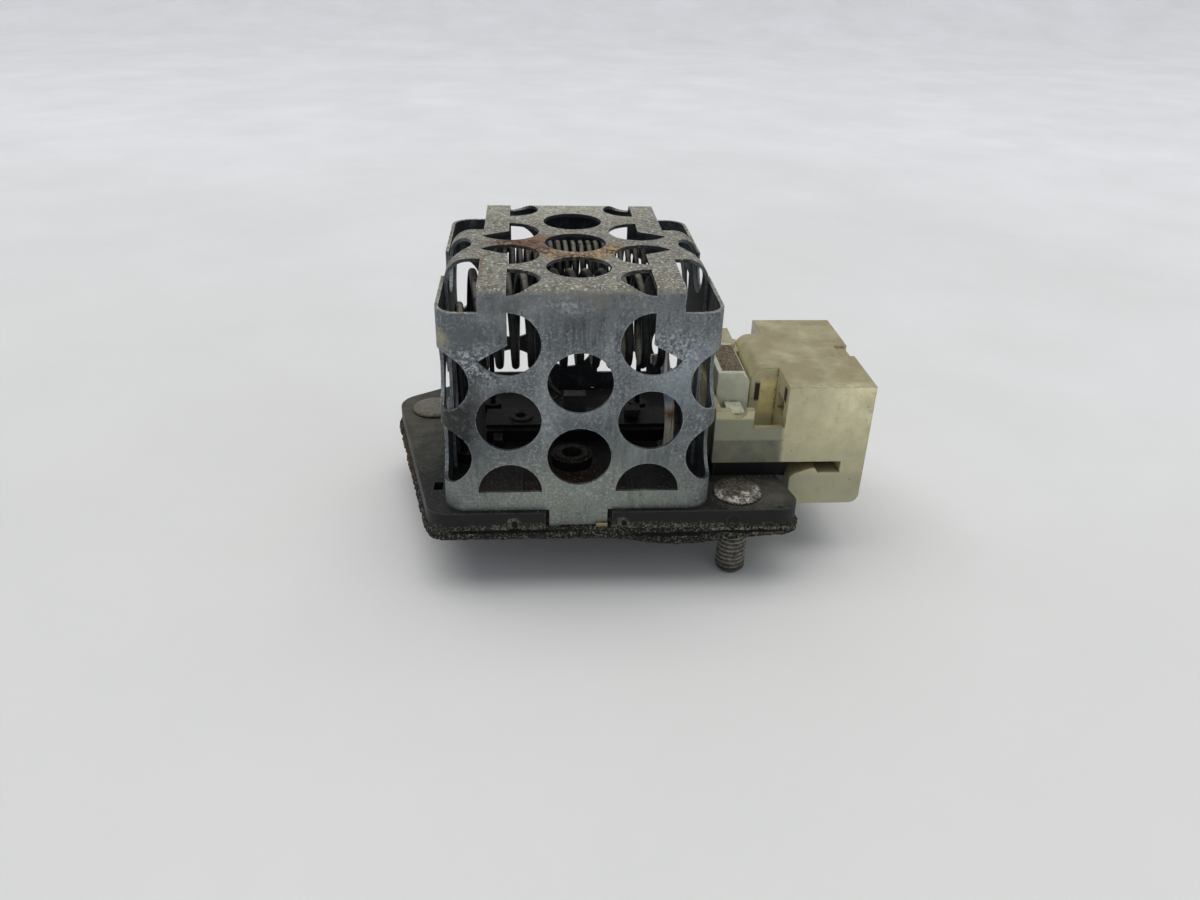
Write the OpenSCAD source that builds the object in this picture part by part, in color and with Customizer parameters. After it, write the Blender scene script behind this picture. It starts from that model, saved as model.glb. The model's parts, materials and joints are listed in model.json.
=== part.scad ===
// Blower motor resistor: two resistance coils in a perforated steel cage on a moulded plate,
// with a foam gasket, two mounting studs and a nylon connector housing beside the cage.
// Millimetres, +Z up. The origin is midway between the studs, on the underside of the gasket.
// The photographed front is the -Y side and the connector is on the +X side.

/* [Part] */
// node to build

/* [Mounting] */
// gap between a stud head and the side of the cage, on average
stud_gap = 1; // [0.8:0.1:3]
// half the distance between the studs along Y
stud_y = 19.2; // [18:0.1:20]
// major diameter of the stud thread
stud_d = 6; // [5:0.5:7]
// how far the studs reach below the gasket
stud_reach = 12.3; // [8:0.1:20]
// diameter of the collar that sits in the underside of the plate
collar_d = 8; // [7.6:0.1:9]
// height of the collar
collar_h = 0.85; // [0.6:0.05:1.5]
// diameter of the round stud head
head_d = 9.8; // [9:0.1:11]
// height of the stud head above the plate
head_h = 1.5; // [1:0.1:2.5]

/* [Plate] */
// thickness of the moulded plate
plate_t = 3.8; // [3.4:0.1:5]
// thickness of the foam gasket
gasket_t = 1.9; // [1:0.1:4]
// how far the gasket stands out past the plate
gasket_lip = 0.6; // [0:0.1:1.2]
// width of the gasket's sealing band at the front and rear
gasket_band = 9.5; // [8:0.5:12]
// least width of foam between a stud and the gasket's window
gasket_land = 2; // [1.5:0.1:4]
// how far the plate stands out in front of and behind the cage
plate_margin = 1.2; // [1:0.1:3]
// height of the terminal platform on the plate
platform_h = 4; // [3:0.1:5]
// height of the pedestal under the connector
pedestal_h = 4.7; // [4:0.1:6]
// height of the sockets that the coil ends stand in
socket_h = 2.6; // [2.2:0.1:4]
// depth of the cored-out pockets in the underside
pocket_depth = 1.2; // [0.6:0.1:1.6]

/* [Cage] */
// outside width of the cage
cage_w = 51.2; // [49:0.1:54]
// outside depth of the cage
cage_d = 55.8; // [54:0.1:60]
// height of the cage above the plate
cage_h = 44.4; // [42:0.1:48]
// sheet thickness
sheet_t = 0.65; // [0.5:0.05:0.9]
// outside radius of the vertical corner bends
corner_r = 4.3; // [3:0.1:6]
// outside radius of the front and rear folds at the top
fold_r = 2; // [1.5:0.1:3]
// outside radius of the side flap bends
flap_r = 4.5; // [3:0.1:5]
// half width of the neck between the corner notches
neck_half = 18; // [17:0.1:19]
// depth of the front corner notches below the top
notch_front = 4.5; // [3.5:0.1:6]
// depth of the rear corner notches below the top
notch_rear = 3.5; // [3:0.1:6]
// front edge of the side flaps, behind the front panel
flap_y0 = 16.3; // [15:0.1:18]
// width of the side flaps
flap_w = 19; // [17:0.1:21]
// clearance between a side flap and the wings outside it
flap_gap = 0.1; // [0.05:0.05:0.3]
// diameter of the perforations
hole_d = 12; // [10:0.1:12.6]
// distance between the centres of neighbouring perforations
hole_pitch = 15; // [14:0.1:15.4]
// height of the lowest row of front holes above the plate
row_low = 3.95; // [2:0.05:4.5]
// middle of the hole pattern on the top, behind the front panel
top_mid = 26.6; // [26:0.1:28]
// width of the retaining tabs
tab_w = 11.2; // [8:0.1:14]

/* [Coils] */
// wire diameter of the front coil
front_wire = 1.55; // [1.2:0.05:1.8]
// mean radius of the front coil
front_r = 9; // [7.5:0.1:9.4]
// turns of the front coil
front_turns = 12; // [9:1:13]
// how far the front coil's turns lean, along X for each length of depth
front_lean = 0.06; // [0:0.01:0.12]
// gap between the front coil and the top of the cage
front_drop = 2.8; // [2:0.1:4]
// gap between the front coil and the front panel
front_set = 9.6; // [8:0.1:10.5]
// gap between the front coil's left lead and the side flap
lead_gap = 0.6; // [0.4:0.1:1]
// width of the strip that taps the front coil
tap_w = 2; // [1.4:0.1:2.4]
// thickness of the strip that taps the front coil
tap_t = 0.8; // [0.5:0.1:1]
// distance from the foot of the strip to the side flap
tap_inset = 4.5; // [4:0.1:5.5]
// wire diameter of the rear coil
rear_wire = 1.15; // [0.8:0.05:1.3]
// mean radius of the rear coil
rear_r = 6.4; // [5.5:0.1:6.8]
// distance between turns of the rear coil
rear_pitch = 1.6; // [1.5:0.05:1.65]
// turns of the rear coil
rear_turns = 20; // [16:1:20]
// gap between the rear coil and the top of the cage
rear_drop = 3.7; // [3:0.1:5]
// gap between the rear coil and the rear panel
rear_set = 6.2; // [5:0.1:7]

/* [Connector] */
// gap between the cage and the housing
house_gap = 1.4; // [1:0.1:2.4]
// how far the housing starts behind the front of the cage
house_y = 9; // [8.5:0.1:10]
// height of the housing
housing_h = 16.5; // [16:0.1:19]
// length of the housing along Y
housing_l = 35.8; // [35:0.1:38]
// width of the main body along X
body_w = 17.3; // [16.5:0.1:20]
// width of the lock side, between the cage and the main body
side_w = 14; // [13.8:0.1:15]
// wall thickness round the mating cavity
housing_wall = 2; // [1.5:0.1:2.6]
// thickness of the wall that holds the blades
blade_wall = 3; // [2.6:0.1:4]
// how far the hook reaches below the plate's top
hook_drop = 5; // [4.5:0.1:5.6]
// thickness of the floor of the lock side
lock_floor = 1.8; // [1.2:0.1:2.4]
// width of the pale lock block
lock_w = 6.4; // [5.8:0.1:6.8]
// depth of the rough filling in the lock block
fill_depth = 1.1; // [0.6:0.1:2]
// width of a blade
blade_w = 4.8; // [4:0.1:5.5]
// thickness of a blade
blade_t = 0.8; // [0.6:0.1:1]
// distance between blades
blade_pitch = 7.2; // [6.5:0.1:7.6]
// height of the blades above the housing floor
blade_rise = 7.8; // [6:0.1:9]

/* [Hidden] */
fine = 96;
round = 48;
// clearance between parts that sit in one another
fit_gap = 0.1;
// clearance between flat faces that rest on one another
rest_gap = 0.05;
// overlap used only inside one solid, so that its pieces join
join = 0.05;

// plate and cage
deck_z = gasket_t + plate_t;
cage_x = -0.4;
cage_front = -24.5;
half_w = cage_w / 2;
stud_x = half_w + head_d / 2 + stud_gap;
plate_front = cage_front - plate_margin;
plate_rear = cage_front + cage_d + plate_margin;
plate_corner = 4.5;
plate_ear = 6;
tab_depth = plate_t - 0.3;
tab_foot = 2.2;

// perforation grid: columns lie hole_pitch * sin(60) apart and rows half a pitch apart
hole_r = hole_d / 2;
col = hole_pitch * sin(60);
row_top = row_low + 2 * hole_pitch;
end_hole_y = 5.1;
end_hole_ry = 5.2;

// bends
panel_half = half_w - corner_r;
corner_neutral = corner_r - sheet_t / 2;
fold_neutral = fold_r - sheet_t / 2;
flap_face = half_w - sheet_t - flap_gap;
flap_flat = flap_face - flap_r;
flap_neutral = flap_r - sheet_t / 2;
flap_mid = flap_y0 + flap_w / 2;
inner_half = flap_face - sheet_t;
seam_gap = 0.3;

// coils
front_yc = sheet_t + front_set + front_wire / 2 + front_r;
front_zc = cage_h - sheet_t - front_drop - front_wire / 2 - front_r;
front_lead = [-inner_half + lead_gap + front_wire / 2, front_yc - 0.5];
front_x0 = front_lead[0] + front_wire + 0.15;
tap_x = inner_half - tap_inset;
tap_y = front_yc + 0.75;
tap_z = front_zc - front_r;
// the strip bows by this much towards the coil at the weld, and runs on above it
tap_bow = 1.7;
tap_over = 6;
front_x1 = tap_x - tap_w - 1.6;
front_pitch = (front_x1 - front_x0) / front_turns;
rear_yc = cage_d - sheet_t - rear_set - rear_wire / 2 - rear_r;
rear_zc = cage_h - sheet_t - rear_drop - rear_wire / 2 - rear_r;
rear_x0 = -16.6;
rear_x1 = rear_x0 + rear_pitch * rear_turns;
rear_leads = [[rear_x0 - 1, rear_yc], [rear_x1, rear_yc]];
socket_floor = 1;
socket_r = max(tap_w / 2 + 1.1, front_wire / 2 + 1.3);

// terminal platform
platform_x = -18.6;
platform_w = 39.6;
platform_y = 28;
platform_l = 7.6;
boss = [-0.6, 18.3];
boss_h = 2.2;
left_rivet = [-11.2, 31.8];
lug = [11.5, 31.1];
lug_w = 3.2;
lug_t = 1;
lug_root = 2.4;
cutout_at = [-1.9, 30.6];
cutout_size = [4.8, 2.8, 5.4];
lead_r = 0.4;
foot = [-5.1, 31.9];
// the lower wire leaves in the front half of the cut-out and the upper one in its rear half
lead_front_y = cutout_at[1] + 0.8;
lead_rear_y = cutout_at[1] + 2.1;
// the upper wire rises this far behind and above the cut-out before it turns to the rear coil
lead_rise = [-3.4, 3, 9];

// connector
house_x = half_w + house_gap;
house_z = pedestal_h + fit_gap;
body_x = house_x + side_w;
right_x = body_x + body_w;
wall_x = body_x + blade_wall;
hook_x = body_x + 2.3;
hook_top = 2.3;
slot_end = right_x - 4.9;
pedestal_x = house_x + 1;
pedestal_y = 12;
pedestal_l = 30.6;
tongue_t = 1.2;
leg_x = body_x + 1;
blade_z = house_z + blade_rise;
blade_l = body_w - 3.9;
shoulder_y = 9.3;
shoulder_l = 18.2;
shoulder_w = 5.5;
shoulder_r = 3;
low_wall = 7.7;
mid_wall = 11.6;
lock_y = 7;
lock_l = 15.4;
lock_x = 1.3;
lock_r = 1.6;
fill_rim = 0.9;

// everything on the deck is placed from the middle of the cage's bottom front edge
module on_deck() { translate([cage_x, cage_front, deck_z]) children(); }

// the connector is placed from the front left corner of its floor
module on_house() { on_deck() translate([house_x, house_y, house_z]) children(); }

// places of the studs; the pair is symmetric about the origin
module stud_spots() { for (s = [-1, 1]) translate([s * stud_x, -s * stud_y, 0]) children(); }

// middle of blade number k along Y, from the front of the housing
function blade_y(k) = housing_l / 2 - 0.1 + (k - 1.5) * blade_pitch;

// Sheet that is flat up to `flat`, then bends a quarter turn at radius `rn` and runs on flat:
// s is the distance along its middle surface, and the point lies `off` outside that surface
function bend_angle(s, flat, rn) = min(90, max(0, (s - flat) / rn * 180 / PI));
function bend_point(s, flat, rn, outer, off) =
    let (a = bend_angle(s, flat, rn), past = max(0, s - flat - rn * PI / 2))
    [min(s, flat) + (rn + off) * sin(a), outer - (rn + off) * cos(a) + past];

// cutter for a round or oval hole that follows the bend; `up` and `down` switch its halves
module wrapped_hole(flat, rn, outer, s0, w0, rs, rw, up = 1, down = 1, n = 24) {
    reach = 1.4;
    slim = 0.04;
    cols = [for (j = [0:n]) let (
        s = s0 - rs * cos(180 * j / n),
        h = max(slim, rw * sin(180 * j / n)),
        pin = bend_point(s, flat, rn, outer, -reach),
        pout = bend_point(s, flat, rn, outer, reach),
        lo = w0 - down * h, hi = w0 + up * h)
        [[pin[0], pin[1], lo], [pout[0], pout[1], lo], [pout[0], pout[1], hi], [pin[0], pin[1], hi]]];
    walls = [for (j = [0:n - 1]) let (a = 4 * j, b = 4 * j + 4) each [
        [a + 2, b + 2, b + 1, a + 1],
        [a + 0, b + 0, b + 3, a + 3],
        [b + 3, b + 2, a + 2], [a + 3, b + 3, a + 2],
        [b + 1, b + 0, a + 0], [a + 1, b + 1, a + 0]]];
    ends = [[3, 2, 1, 0], [4 * n, 4 * n + 1, 4 * n + 2, 4 * n + 3]];
    polyhedron(points = [for (c = cols) for (p = c) p], faces = concat(walls, ends), convexity = 6);
}

// round cutter along Z with a solid 120 degree slice that starts at angle `from`
module sector_hole(from) {
    difference() {
        cylinder(r = hole_r, h = 4, center = true, $fn = fine);
        linear_extrude(height = 5, center = true)
            polygon([[0, 0], for (k = [0:2]) 2.6 * hole_r * [cos(from + 60 * k), sin(from + 60 * k)]]);
    }
}

// a front or rear panel with its neck, corner bends and wings
module panel(notch_z) {
    translate([-panel_half - join, 0, 0]) cube([2 * panel_half + 2 * join, sheet_t, notch_z]);
    translate([-neck_half, 0, notch_z - join])
        cube([2 * neck_half, sheet_t, cage_h - fold_r - notch_z + 2 * join]);
    for (s = [-1, 1]) {
        translate([s * panel_half, corner_r, 0]) rotate([0, 0, s > 0 ? -90 : 180])
            rotate_extrude(angle = 90, $fn = fine)
                translate([corner_r - sheet_t, 0]) square([sheet_t, notch_z]);
        translate([s > 0 ? half_w - sheet_t : -half_w, corner_r - join, 0])
            cube([sheet_t, (cage_d - seam_gap) / 2 - corner_r + join, notch_z]);
    }
    // fold to the top
    translate([-neck_half, fold_r, cage_h - fold_r]) rotate([0, 90, 0]) rotate([0, 0, 180])
        rotate_extrude(angle = 90, $fn = fine)
            translate([fold_r - sheet_t, 0]) square([sheet_t, 2 * neck_half]);
    // retaining tab with an ear at each side, the right one clinched outwards
    translate([-tab_w / 2, 0, -tab_depth]) cube([tab_w, sheet_t, tab_depth + join]);
    for (s = [-1, 1]) translate([s > 0 ? tab_w / 2 - tab_foot : -tab_w / 2, 0, -plate_t])
        cube([tab_foot, sheet_t, 1]);
    translate([tab_w / 2 - tab_foot, -0.55, -plate_t]) cube([tab_foot, 0.55 + join, 0.9]);
}

// the holes of one panel, as seen from its outside
module panel_holes() {
    // middle column
    for (k = [0, 1]) translate([0, 0, row_top - hole_pitch * (0.5 + k)]) rotate([90, 0, 0])
        cylinder(r = hole_r, h = 4, center = true, $fn = fine);
    for (s = [-1, 1]) {
        // row below the notches keeps a solid slice towards the notch
        translate([s * col, 0, row_top]) rotate([90, 0, 0]) sector_hole(s < 0 ? 90 : -30);
        translate([s * col, 0, row_top - hole_pitch]) rotate([90, 0, 0])
            cylinder(r = hole_r, h = 4, center = true, $fn = fine);
        // lowest row is half round
        translate([s * col, 0, row_low]) rotate([90, 0, 0]) intersection() {
            cylinder(r = hole_r, h = 4, center = true, $fn = fine);
            translate([0, hole_r, 0]) cube([3 * hole_r, 2 * hole_r, 5], center = true);
        }
        // holes that lie on the vertical bends
        for (k = [0, 1]) mirror([s < 0 ? 1 : 0, 0, 0])
            wrapped_hole(panel_half, corner_neutral, corner_r, 2 * col, row_top - hole_pitch * (0.5 + k),
                hole_r, hole_r);
        // holes in the wings, the upper one half round
        translate([s * half_w, corner_r + 3 * col - panel_half - corner_neutral * PI / 2, 0]) {
            translate([0, 0, row_top - hole_pitch]) rotate([0, 90, 0])
                cylinder(r = hole_r, h = 1.6, center = true, $fn = fine);
            translate([0, 0, row_top]) rotate([0, 90, 0]) intersection() {
                cylinder(r = hole_r, h = 1.6, center = true, $fn = fine);
                translate([hole_r, 0, 0]) cube([2 * hole_r, 3 * hole_r, 5], center = true);
            }
        }
    }
}

// the two half holes that run over the fold at one end of the top
module end_holes() {
    for (s = [-1, 1]) translate([0, cage_d / 2, cage_h]) rotate([-90, 0, -90])
        wrapped_hole(cage_d / 2 - fold_r, fold_neutral, fold_r, cage_d / 2 - end_hole_y, s * col,
            end_hole_ry, hole_r, s < 0 ? 1 : 0, s < 0 ? 0 : 1);
}

// a side flap bends down from the top and runs inside the wings, spot welded to them
module flap() {
    translate([neck_half - join, flap_y0, cage_h - sheet_t])
        cube([flap_flat - neck_half + 2 * join, flap_w, sheet_t]);
    translate([flap_flat, flap_y0, cage_h - flap_r]) rotate([-90, 0, 0]) rotate([0, 0, -90])
        rotate_extrude(angle = 90, $fn = fine) translate([flap_r - sheet_t, 0]) square([sheet_t, flap_w]);
    translate([flap_face - sheet_t, flap_y0, 0]) cube([sheet_t, flap_w, cage_h - flap_r + join]);
    for (y = [flap_y0 + 3, flap_y0 + flap_w - 3]) translate([flap_face - join, y, 8]) rotate([0, 90, 0])
        cylinder(r = 1.6, h = flap_gap + 2 * join, $fn = 32);
}

// one hole on the bend of a flap, and one below it
module flap_holes() {
    lower = cage_h - flap_r - (4 * col - flap_flat - flap_neutral * PI / 2);
    translate([0, 0, cage_h]) rotate([-90, 0, 0])
        wrapped_hole(flap_flat, flap_neutral, flap_r, 2 * col, flap_mid, hole_r, hole_r);
    translate([flap_face - sheet_t / 2, flap_mid, lower]) rotate([0, 90, 0])
        cylinder(r = hole_r, h = 3, center = true, $fn = fine);
}

module cage() color([0.55, 0.57, 0.58]) on_deck() difference() {
    union() {
        panel(cage_h - notch_front);
        translate([0, cage_d, 0]) mirror([0, 1, 0]) panel(cage_h - notch_rear);
        translate([-neck_half, fold_r - join, cage_h - sheet_t])
            cube([2 * neck_half, cage_d - 2 * fold_r + 2 * join, sheet_t]);
        for (s = [0, 1]) mirror([s, 0, 0]) flap();
    }
    for (s = [0, 1]) translate([0, s * cage_d, 0]) mirror([0, s, 0]) {
        panel_holes();
        end_holes();
    }
    // middle column of the top
    for (k = [-1, 0, 1]) translate([0, top_mid + k * hole_pitch, cage_h])
        cylinder(r = hole_r, h = 4, center = true, $fn = fine);
    // side columns of the top keep a solid slice towards the notches
    for (s = [-1, 1], e = [-1, 1]) translate([s * col, top_mid + e * hole_pitch / 2, cage_h])
        sector_hole(s < 0 ? (e < 0 ? 150 : 90) : (e < 0 ? -90 : -30));
    for (s = [0, 1]) mirror([s, 0, 0]) flap_holes();
}

// outline of the plate: a leaning oblong with an ear round each stud
module plate_outline(grow = 0) {
    hull() {
        translate([cage_x - half_w + 0.7, plate_front + plate_corner])
            circle(r = plate_corner + grow, $fn = 64);
        translate([stud_x + 7.35, plate_front + 4]) circle(r = 4 + grow, $fn = 64);
        translate([cage_x + half_w + 1.7, plate_rear - 5]) circle(r = 5 + grow, $fn = 64);
        translate([cage_x - half_w, plate_rear - 5]) circle(r = 5 + grow, $fn = 64);
        translate([-stud_x - 1.75, stud_y + 2.3]) circle(r = plate_ear + grow, $fn = 64);
    }
}

// opening in the middle of the gasket; two of its corners keep clear of the studs
window_r = 3;
window_x = stud_x - (collar_d + 0.6) / 2 - gasket_land - window_r;
window_y = [plate_front + gasket_band, plate_rear - gasket_band];
module gasket_window() {
    hull() for (s = [-1, 1], x = [s * (window_x - 1.8), -s * window_x])
        translate([x, s < 0 ? window_y[0] + window_r : window_y[1] - window_r])
            circle(r = window_r, $fn = round);
}

// raised parts of the deck
module deck_features() {
    // terminal platform with a step in front of it, and a small block
    translate([platform_x, platform_y, -join]) cube([platform_w, platform_l, platform_h + join]);
    translate([platform_x, platform_y - 0.9, -join]) cube([platform_w, 1, platform_h - 1 + join]);
    translate([-16.9, platform_y - 4, -join]) cube([1.8, 3.2, 2.4 + join]);
    // boss in front of the platform
    translate([boss[0], boss[1], -join]) cylinder(r = 4.2, h = boss_h + join, $fn = fine);
    // sockets for the ends of the coils and the strip
    for (p = [[front_lead[0] + socket_r - front_wire / 2 - lead_gap + fit_gap, front_lead[1]],
        [tap_x, tap_y + tap_t / 2]]) translate([p[0], p[1], -join])
            cylinder(r = socket_r, h = socket_h + join, $fn = round);
    for (p = rear_leads) translate([p[0], p[1], -join])
        cylinder(r = 1.3 + rear_wire / 2, h = socket_h + join, $fn = round);
    // pedestal and tongue that carry the connector
    translate([pedestal_x, pedestal_y, -join])
        cube([hook_x - 0.2 - pedestal_x, pedestal_l, pedestal_h + join]);
    translate([hook_x - 0.2 - join, pedestal_y, pedestal_h - tongue_t])
        cube([slot_end - 0.3 - hook_x + 0.2, pedestal_l, tongue_t]);
    // shallow ribs across the deck, left and right of the boss
    for (x = [-12, 10]) translate([x, 2.2, -join]) cube([1.2, 21, 0.6 + join]);
}

// sockets, slots and marks cut into the deck
module deck_cuts() {
    // recesses that the cage's tabs lie in
    for (m = [0, 1]) translate([0, m * cage_d, 0]) mirror([0, m, 0])
        translate([-tab_w / 2 - 0.8, -plate_margin - 1, -plate_t - 1])
            cube([tab_w + 1.6, plate_margin + sheet_t + 1 + fit_gap, plate_t + 2]);
    // slot beside the left wing
    translate([-half_w - 2.8, 7.8, -2]) cube([1.9, 3.1, 3]);
    // arched moulding marks in the front edge
    for (x = [-12.3, 8.2, 30.2]) translate([x, 0.35 - plate_margin, 1.4 - plate_t]) {
        rotate([90, 0, 0]) cylinder(r = 1.2, h = 1.2, $fn = 32);
        translate([-1.2, -1.2, -3]) cube([2.4, 1.2, 3]);
    }
    // eyelet, boss and lug holes
    translate([left_rivet[0], left_rivet[1], platform_h - 3]) cylinder(r = 1.8 + fit_gap, h = 4, $fn = round);
    translate([boss[0], boss[1], -1]) cylinder(r = 2.6 + fit_gap, h = 4 + boss_h, $fn = fine);
    translate([lug[0] - fit_gap, lug[1] - fit_gap, platform_h - lug_root - fit_gap])
        cube([lug_w + 2 * fit_gap, lug_t + 2 * fit_gap, lug_root + 1]);
    translate([foot[0], foot[1], platform_h - 1.5]) cylinder(r = lead_r + 2 * fit_gap, h = 3, $fn = 24);
    // blind holes for the ends of the coils and the strip
    translate([front_lead[0], front_lead[1], socket_floor])
        cylinder(d = front_wire + 4 * fit_gap, h = socket_h, $fn = 32);
    for (p = rear_leads) translate([p[0], p[1], socket_floor])
        cylinder(d = rear_wire + 4 * fit_gap, h = socket_h, $fn = 32);
    translate([tap_x - tap_w / 2 - 2 * fit_gap, tap_y - fit_gap, socket_floor])
        cube([tap_w + 4 * fit_gap, tap_t + 2 * fit_gap, socket_h]);
    // slots for the legs of the blades
    for (k = [0:3]) translate([leg_x - fit_gap, house_y + blade_y(k) - blade_w / 2 - fit_gap, 1 - fit_gap])
        cube([blade_t + 2 * fit_gap, blade_w + 2 * fit_gap, pedestal_h]);
}

module base_plate() color([0.13, 0.13, 0.13]) difference() {
    union() {
        translate([0, 0, gasket_t]) linear_extrude(height = plate_t) plate_outline();
        on_deck() deck_features();
    }
    on_deck() deck_cuts();
    // stud holes, and counterbores for the stud collars
    stud_spots() translate([0, 0, gasket_t - 1])
        cylinder(d = stud_d + 2 * fit_gap, h = plate_t + 2, $fn = fine);
    stud_spots() translate([0, 0, gasket_t - 1])
        cylinder(d = collar_d + 2 * fit_gap, h = 1 + collar_h + rest_gap, $fn = fine);
    // pockets in the underside, three by two, inside the gasket's window
    pocket = [13.6, (window_y[1] - window_y[0] - 5) / 2];
    for (i = [-1, 0, 1], j = [0, 1]) translate([i * (pocket[0] + 1.3) - pocket[0] / 2,
        window_y[0] + 1.8 + j * (pocket[1] + 1.4), gasket_t - 1])
            cube([pocket[0], pocket[1], 1 + pocket_depth]);
}

module gasket() color([0.2, 0.19, 0.17]) difference() {
    linear_extrude(height = gasket_t) plate_outline(gasket_lip);
    translate([0, 0, -1]) linear_extrude(height = gasket_t + 2) gasket_window();
    stud_spots() translate([0, 0, -1]) cylinder(d = collar_d + 0.6, h = gasket_t + 2, $fn = fine);
}

// shank with a chamfered tip, turned in one piece with the collar and the low domed head
module stud() {
    rotate_extrude($fn = fine) polygon([
        [0, -stud_reach], [stud_d / 2 - 0.9, -stud_reach], [stud_d / 2, 0.9 - stud_reach],
        [stud_d / 2, gasket_t], [collar_d / 2, gasket_t], [collar_d / 2, gasket_t + collar_h],
        [stud_d / 2, gasket_t + collar_h], [stud_d / 2, deck_z], [head_d / 2, deck_z],
        [head_d / 2, deck_z + head_h * 0.55], [head_d / 2 - 0.5, deck_z + head_h * 0.85],
        [head_d / 2 - 1.4, deck_z + head_h], [0, deck_z + head_h]]);
}

module stud_front() color([0.5, 0.48, 0.44]) translate([stud_x, -stud_y, 0]) stud();
module stud_rear() color([0.5, 0.48, 0.44]) translate([-stud_x, stud_y, 0]) stud();

// ring of n points round p, square to the direction t
function unit(v) = v / norm(v);
function ring(p, t, r, n) = let (a = unit(cross(t, [1, 0.001, 0.002])), b = cross(unit(t), a))
    [for (k = [0:n - 1]) p + r * (cos(360 * k / n) * a + sin(360 * k / n) * b)];

// round wire along a list of points
module wire(path, r, n) {
    m = len(path);
    rings = [for (i = [0:m - 1]) ring(path[i], path[min(i + 1, m - 1)] - path[max(i - 1, 0)], r, n)];
    walls = [for (i = [0:m - 2], k = [0:n - 1]) let (q = (k + 1) % n) each [
        [i * n + k, (i + 1) * n + k, (i + 1) * n + q], [i * n + k, (i + 1) * n + q, i * n + q]]];
    ends = [[for (k = [0:n - 1]) k], [for (k = [n - 1:-1:0]) (m - 1) * n + k]];
    polyhedron(points = [for (g = rings) for (p = g) p], faces = concat(walls, ends), convexity = 10);
}

// a turn runs from the bottom over the rear, the top and the front; a is its angle from the bottom
function coil_point(a, x0, pitch, r, yc, zc, lean) =
    let (y = yc + r * sin(a)) [x0 + pitch * a / 360 + lean * (yc - y), y, zc - r * cos(a)];

function coil_path(turns, steps, x0, pitch, r, yc, zc, lean) =
    [for (i = [0:turns * steps]) coil_point(360 * i / steps, x0, pitch, r, yc, zc, lean)];

// The left lead rises beside the coil, bends over in a half circle towards the front and comes
// down into the first turn. The right end stops at the front face of the strip.
module front_coil() color([0.42, 0.4, 0.37]) on_deck() {
    bend_r = (front_lead[1] - front_yc + front_r) / 2;
    front_x = front_x0 - front_pitch / 4 + front_lean * front_r;
    rise = [for (z = [socket_floor + 0.2, front_zc / 2, front_zc - 3]) [front_lead[0], front_lead[1], z]];
    over = [for (a = [0:20:160]) [front_lead[0] + (front_x - front_lead[0]) * a / 180,
        front_lead[1] - bend_r + bend_r * cos(a), front_zc + bend_r * sin(a)]];
    down = [for (a = [-90:18:-18])
        coil_point(a, front_x0, front_pitch, front_r, front_yc, front_zc, front_lean)];
    turns = coil_path(front_turns, 20, front_x0, front_pitch, front_r, front_yc, front_zc, front_lean);
    tail = [[front_x1, tap_y - fit_gap, tap_z]];
    wire(concat(rise, over, down, turns, tail), front_wire / 2, 8);
}

module rear_coil() color([0.38, 0.37, 0.35]) on_deck() {
    turns = coil_path(rear_turns, 18, rear_x0, rear_pitch, rear_r, rear_yc, rear_zc, 0);
    low = rear_zc - rear_r;
    left = [for (p = [[0, socket_floor + 0.2], [0, low / 2], [0.05, low - 2.2], [0.4, low - 0.5]])
        [rear_leads[0][0] + p[0], rear_yc, p[1]]];
    right = [for (p = [[0.5, 0.3, low - 0.4], [0.05, 0.1, low - 2.2], [0, 0, low / 2],
        [0, 0, socket_floor + 0.2]]) [rear_leads[1][0] + p[0], rear_yc + p[1], p[2]]];
    wire(concat(left, turns, right), rear_wire / 2, 7);
}

// bowed strip that taps the right end of the front coil, with a weld tab behind the wire's end
module tap_strip() color([0.62, 0.52, 0.36]) on_deck() {
    line = [[0, socket_floor + 0.2], [0.3, 0.27 * tap_z], [0, 0.52 * tap_z],
        [-0.47 * tap_bow, 0.77 * tap_z], [-tap_bow, tap_z], [-1.3 * tap_bow, tap_z + tap_over]];
    translate([tap_x, tap_y + tap_t, 0]) rotate([90, 0, 0]) linear_extrude(height = tap_t) polygon(concat(
        [for (p = line) [p[0] + tap_w / 2, p[1]]],
        [for (i = [5:-1:0]) [line[i][0] - tap_w / 2, line[i][1]]]));
    translate([front_x1 - 0.8, tap_y, tap_z - 0.9]) cube([tap_x - tap_bow - front_x1 + 0.8, tap_t, 1.8]);
}

// hollow rivet in the platform
module left_eyelet() color([0.55, 0.5, 0.38]) on_deck() translate([left_rivet[0], left_rivet[1], platform_h])
    rotate_extrude($fn = round)
        polygon([[1.2, -2.8], [1.8, -2.8], [1.8, 0], [2.6, 0], [2.6, 0.35], [1.2, 0.35]]);

// eyelet pressed into the boss
module centre_eyelet() color([0.3, 0.3, 0.3]) on_deck() translate([boss[0], boss[1], boss_h])
    rotate_extrude($fn = fine)
        polygon([[2.1, -3], [2.6, -3], [2.6, 0], [3.4, 0], [3.4, 0.3], [2.1, 0.3]]);

// upright lug on the right of the platform, with its end folded forwards
module terminal_lug() color([0.4, 0.38, 0.33]) on_deck() {
    translate([lug[0], lug[1], platform_h - lug_root]) cube([lug_w, lug_t, lug_root + 2.6]);
    translate([lug[0], lug[1] - 1.9, platform_h + 1.8]) cube([lug_w, 1.9 + join, 0.8]);
}

// thermal cut-out: a small block on the platform with a round mark on its front
module cutout() color([0.12, 0.12, 0.14]) on_deck()
    translate([cutout_at[0], cutout_at[1], platform_h + rest_gap]) {
    cube(cutout_size);
    translate([2.4, join, 3.4]) rotate([90, 0, 0]) cylinder(r = 1.1, h = 0.3 + join, $fn = 32);
}

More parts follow.
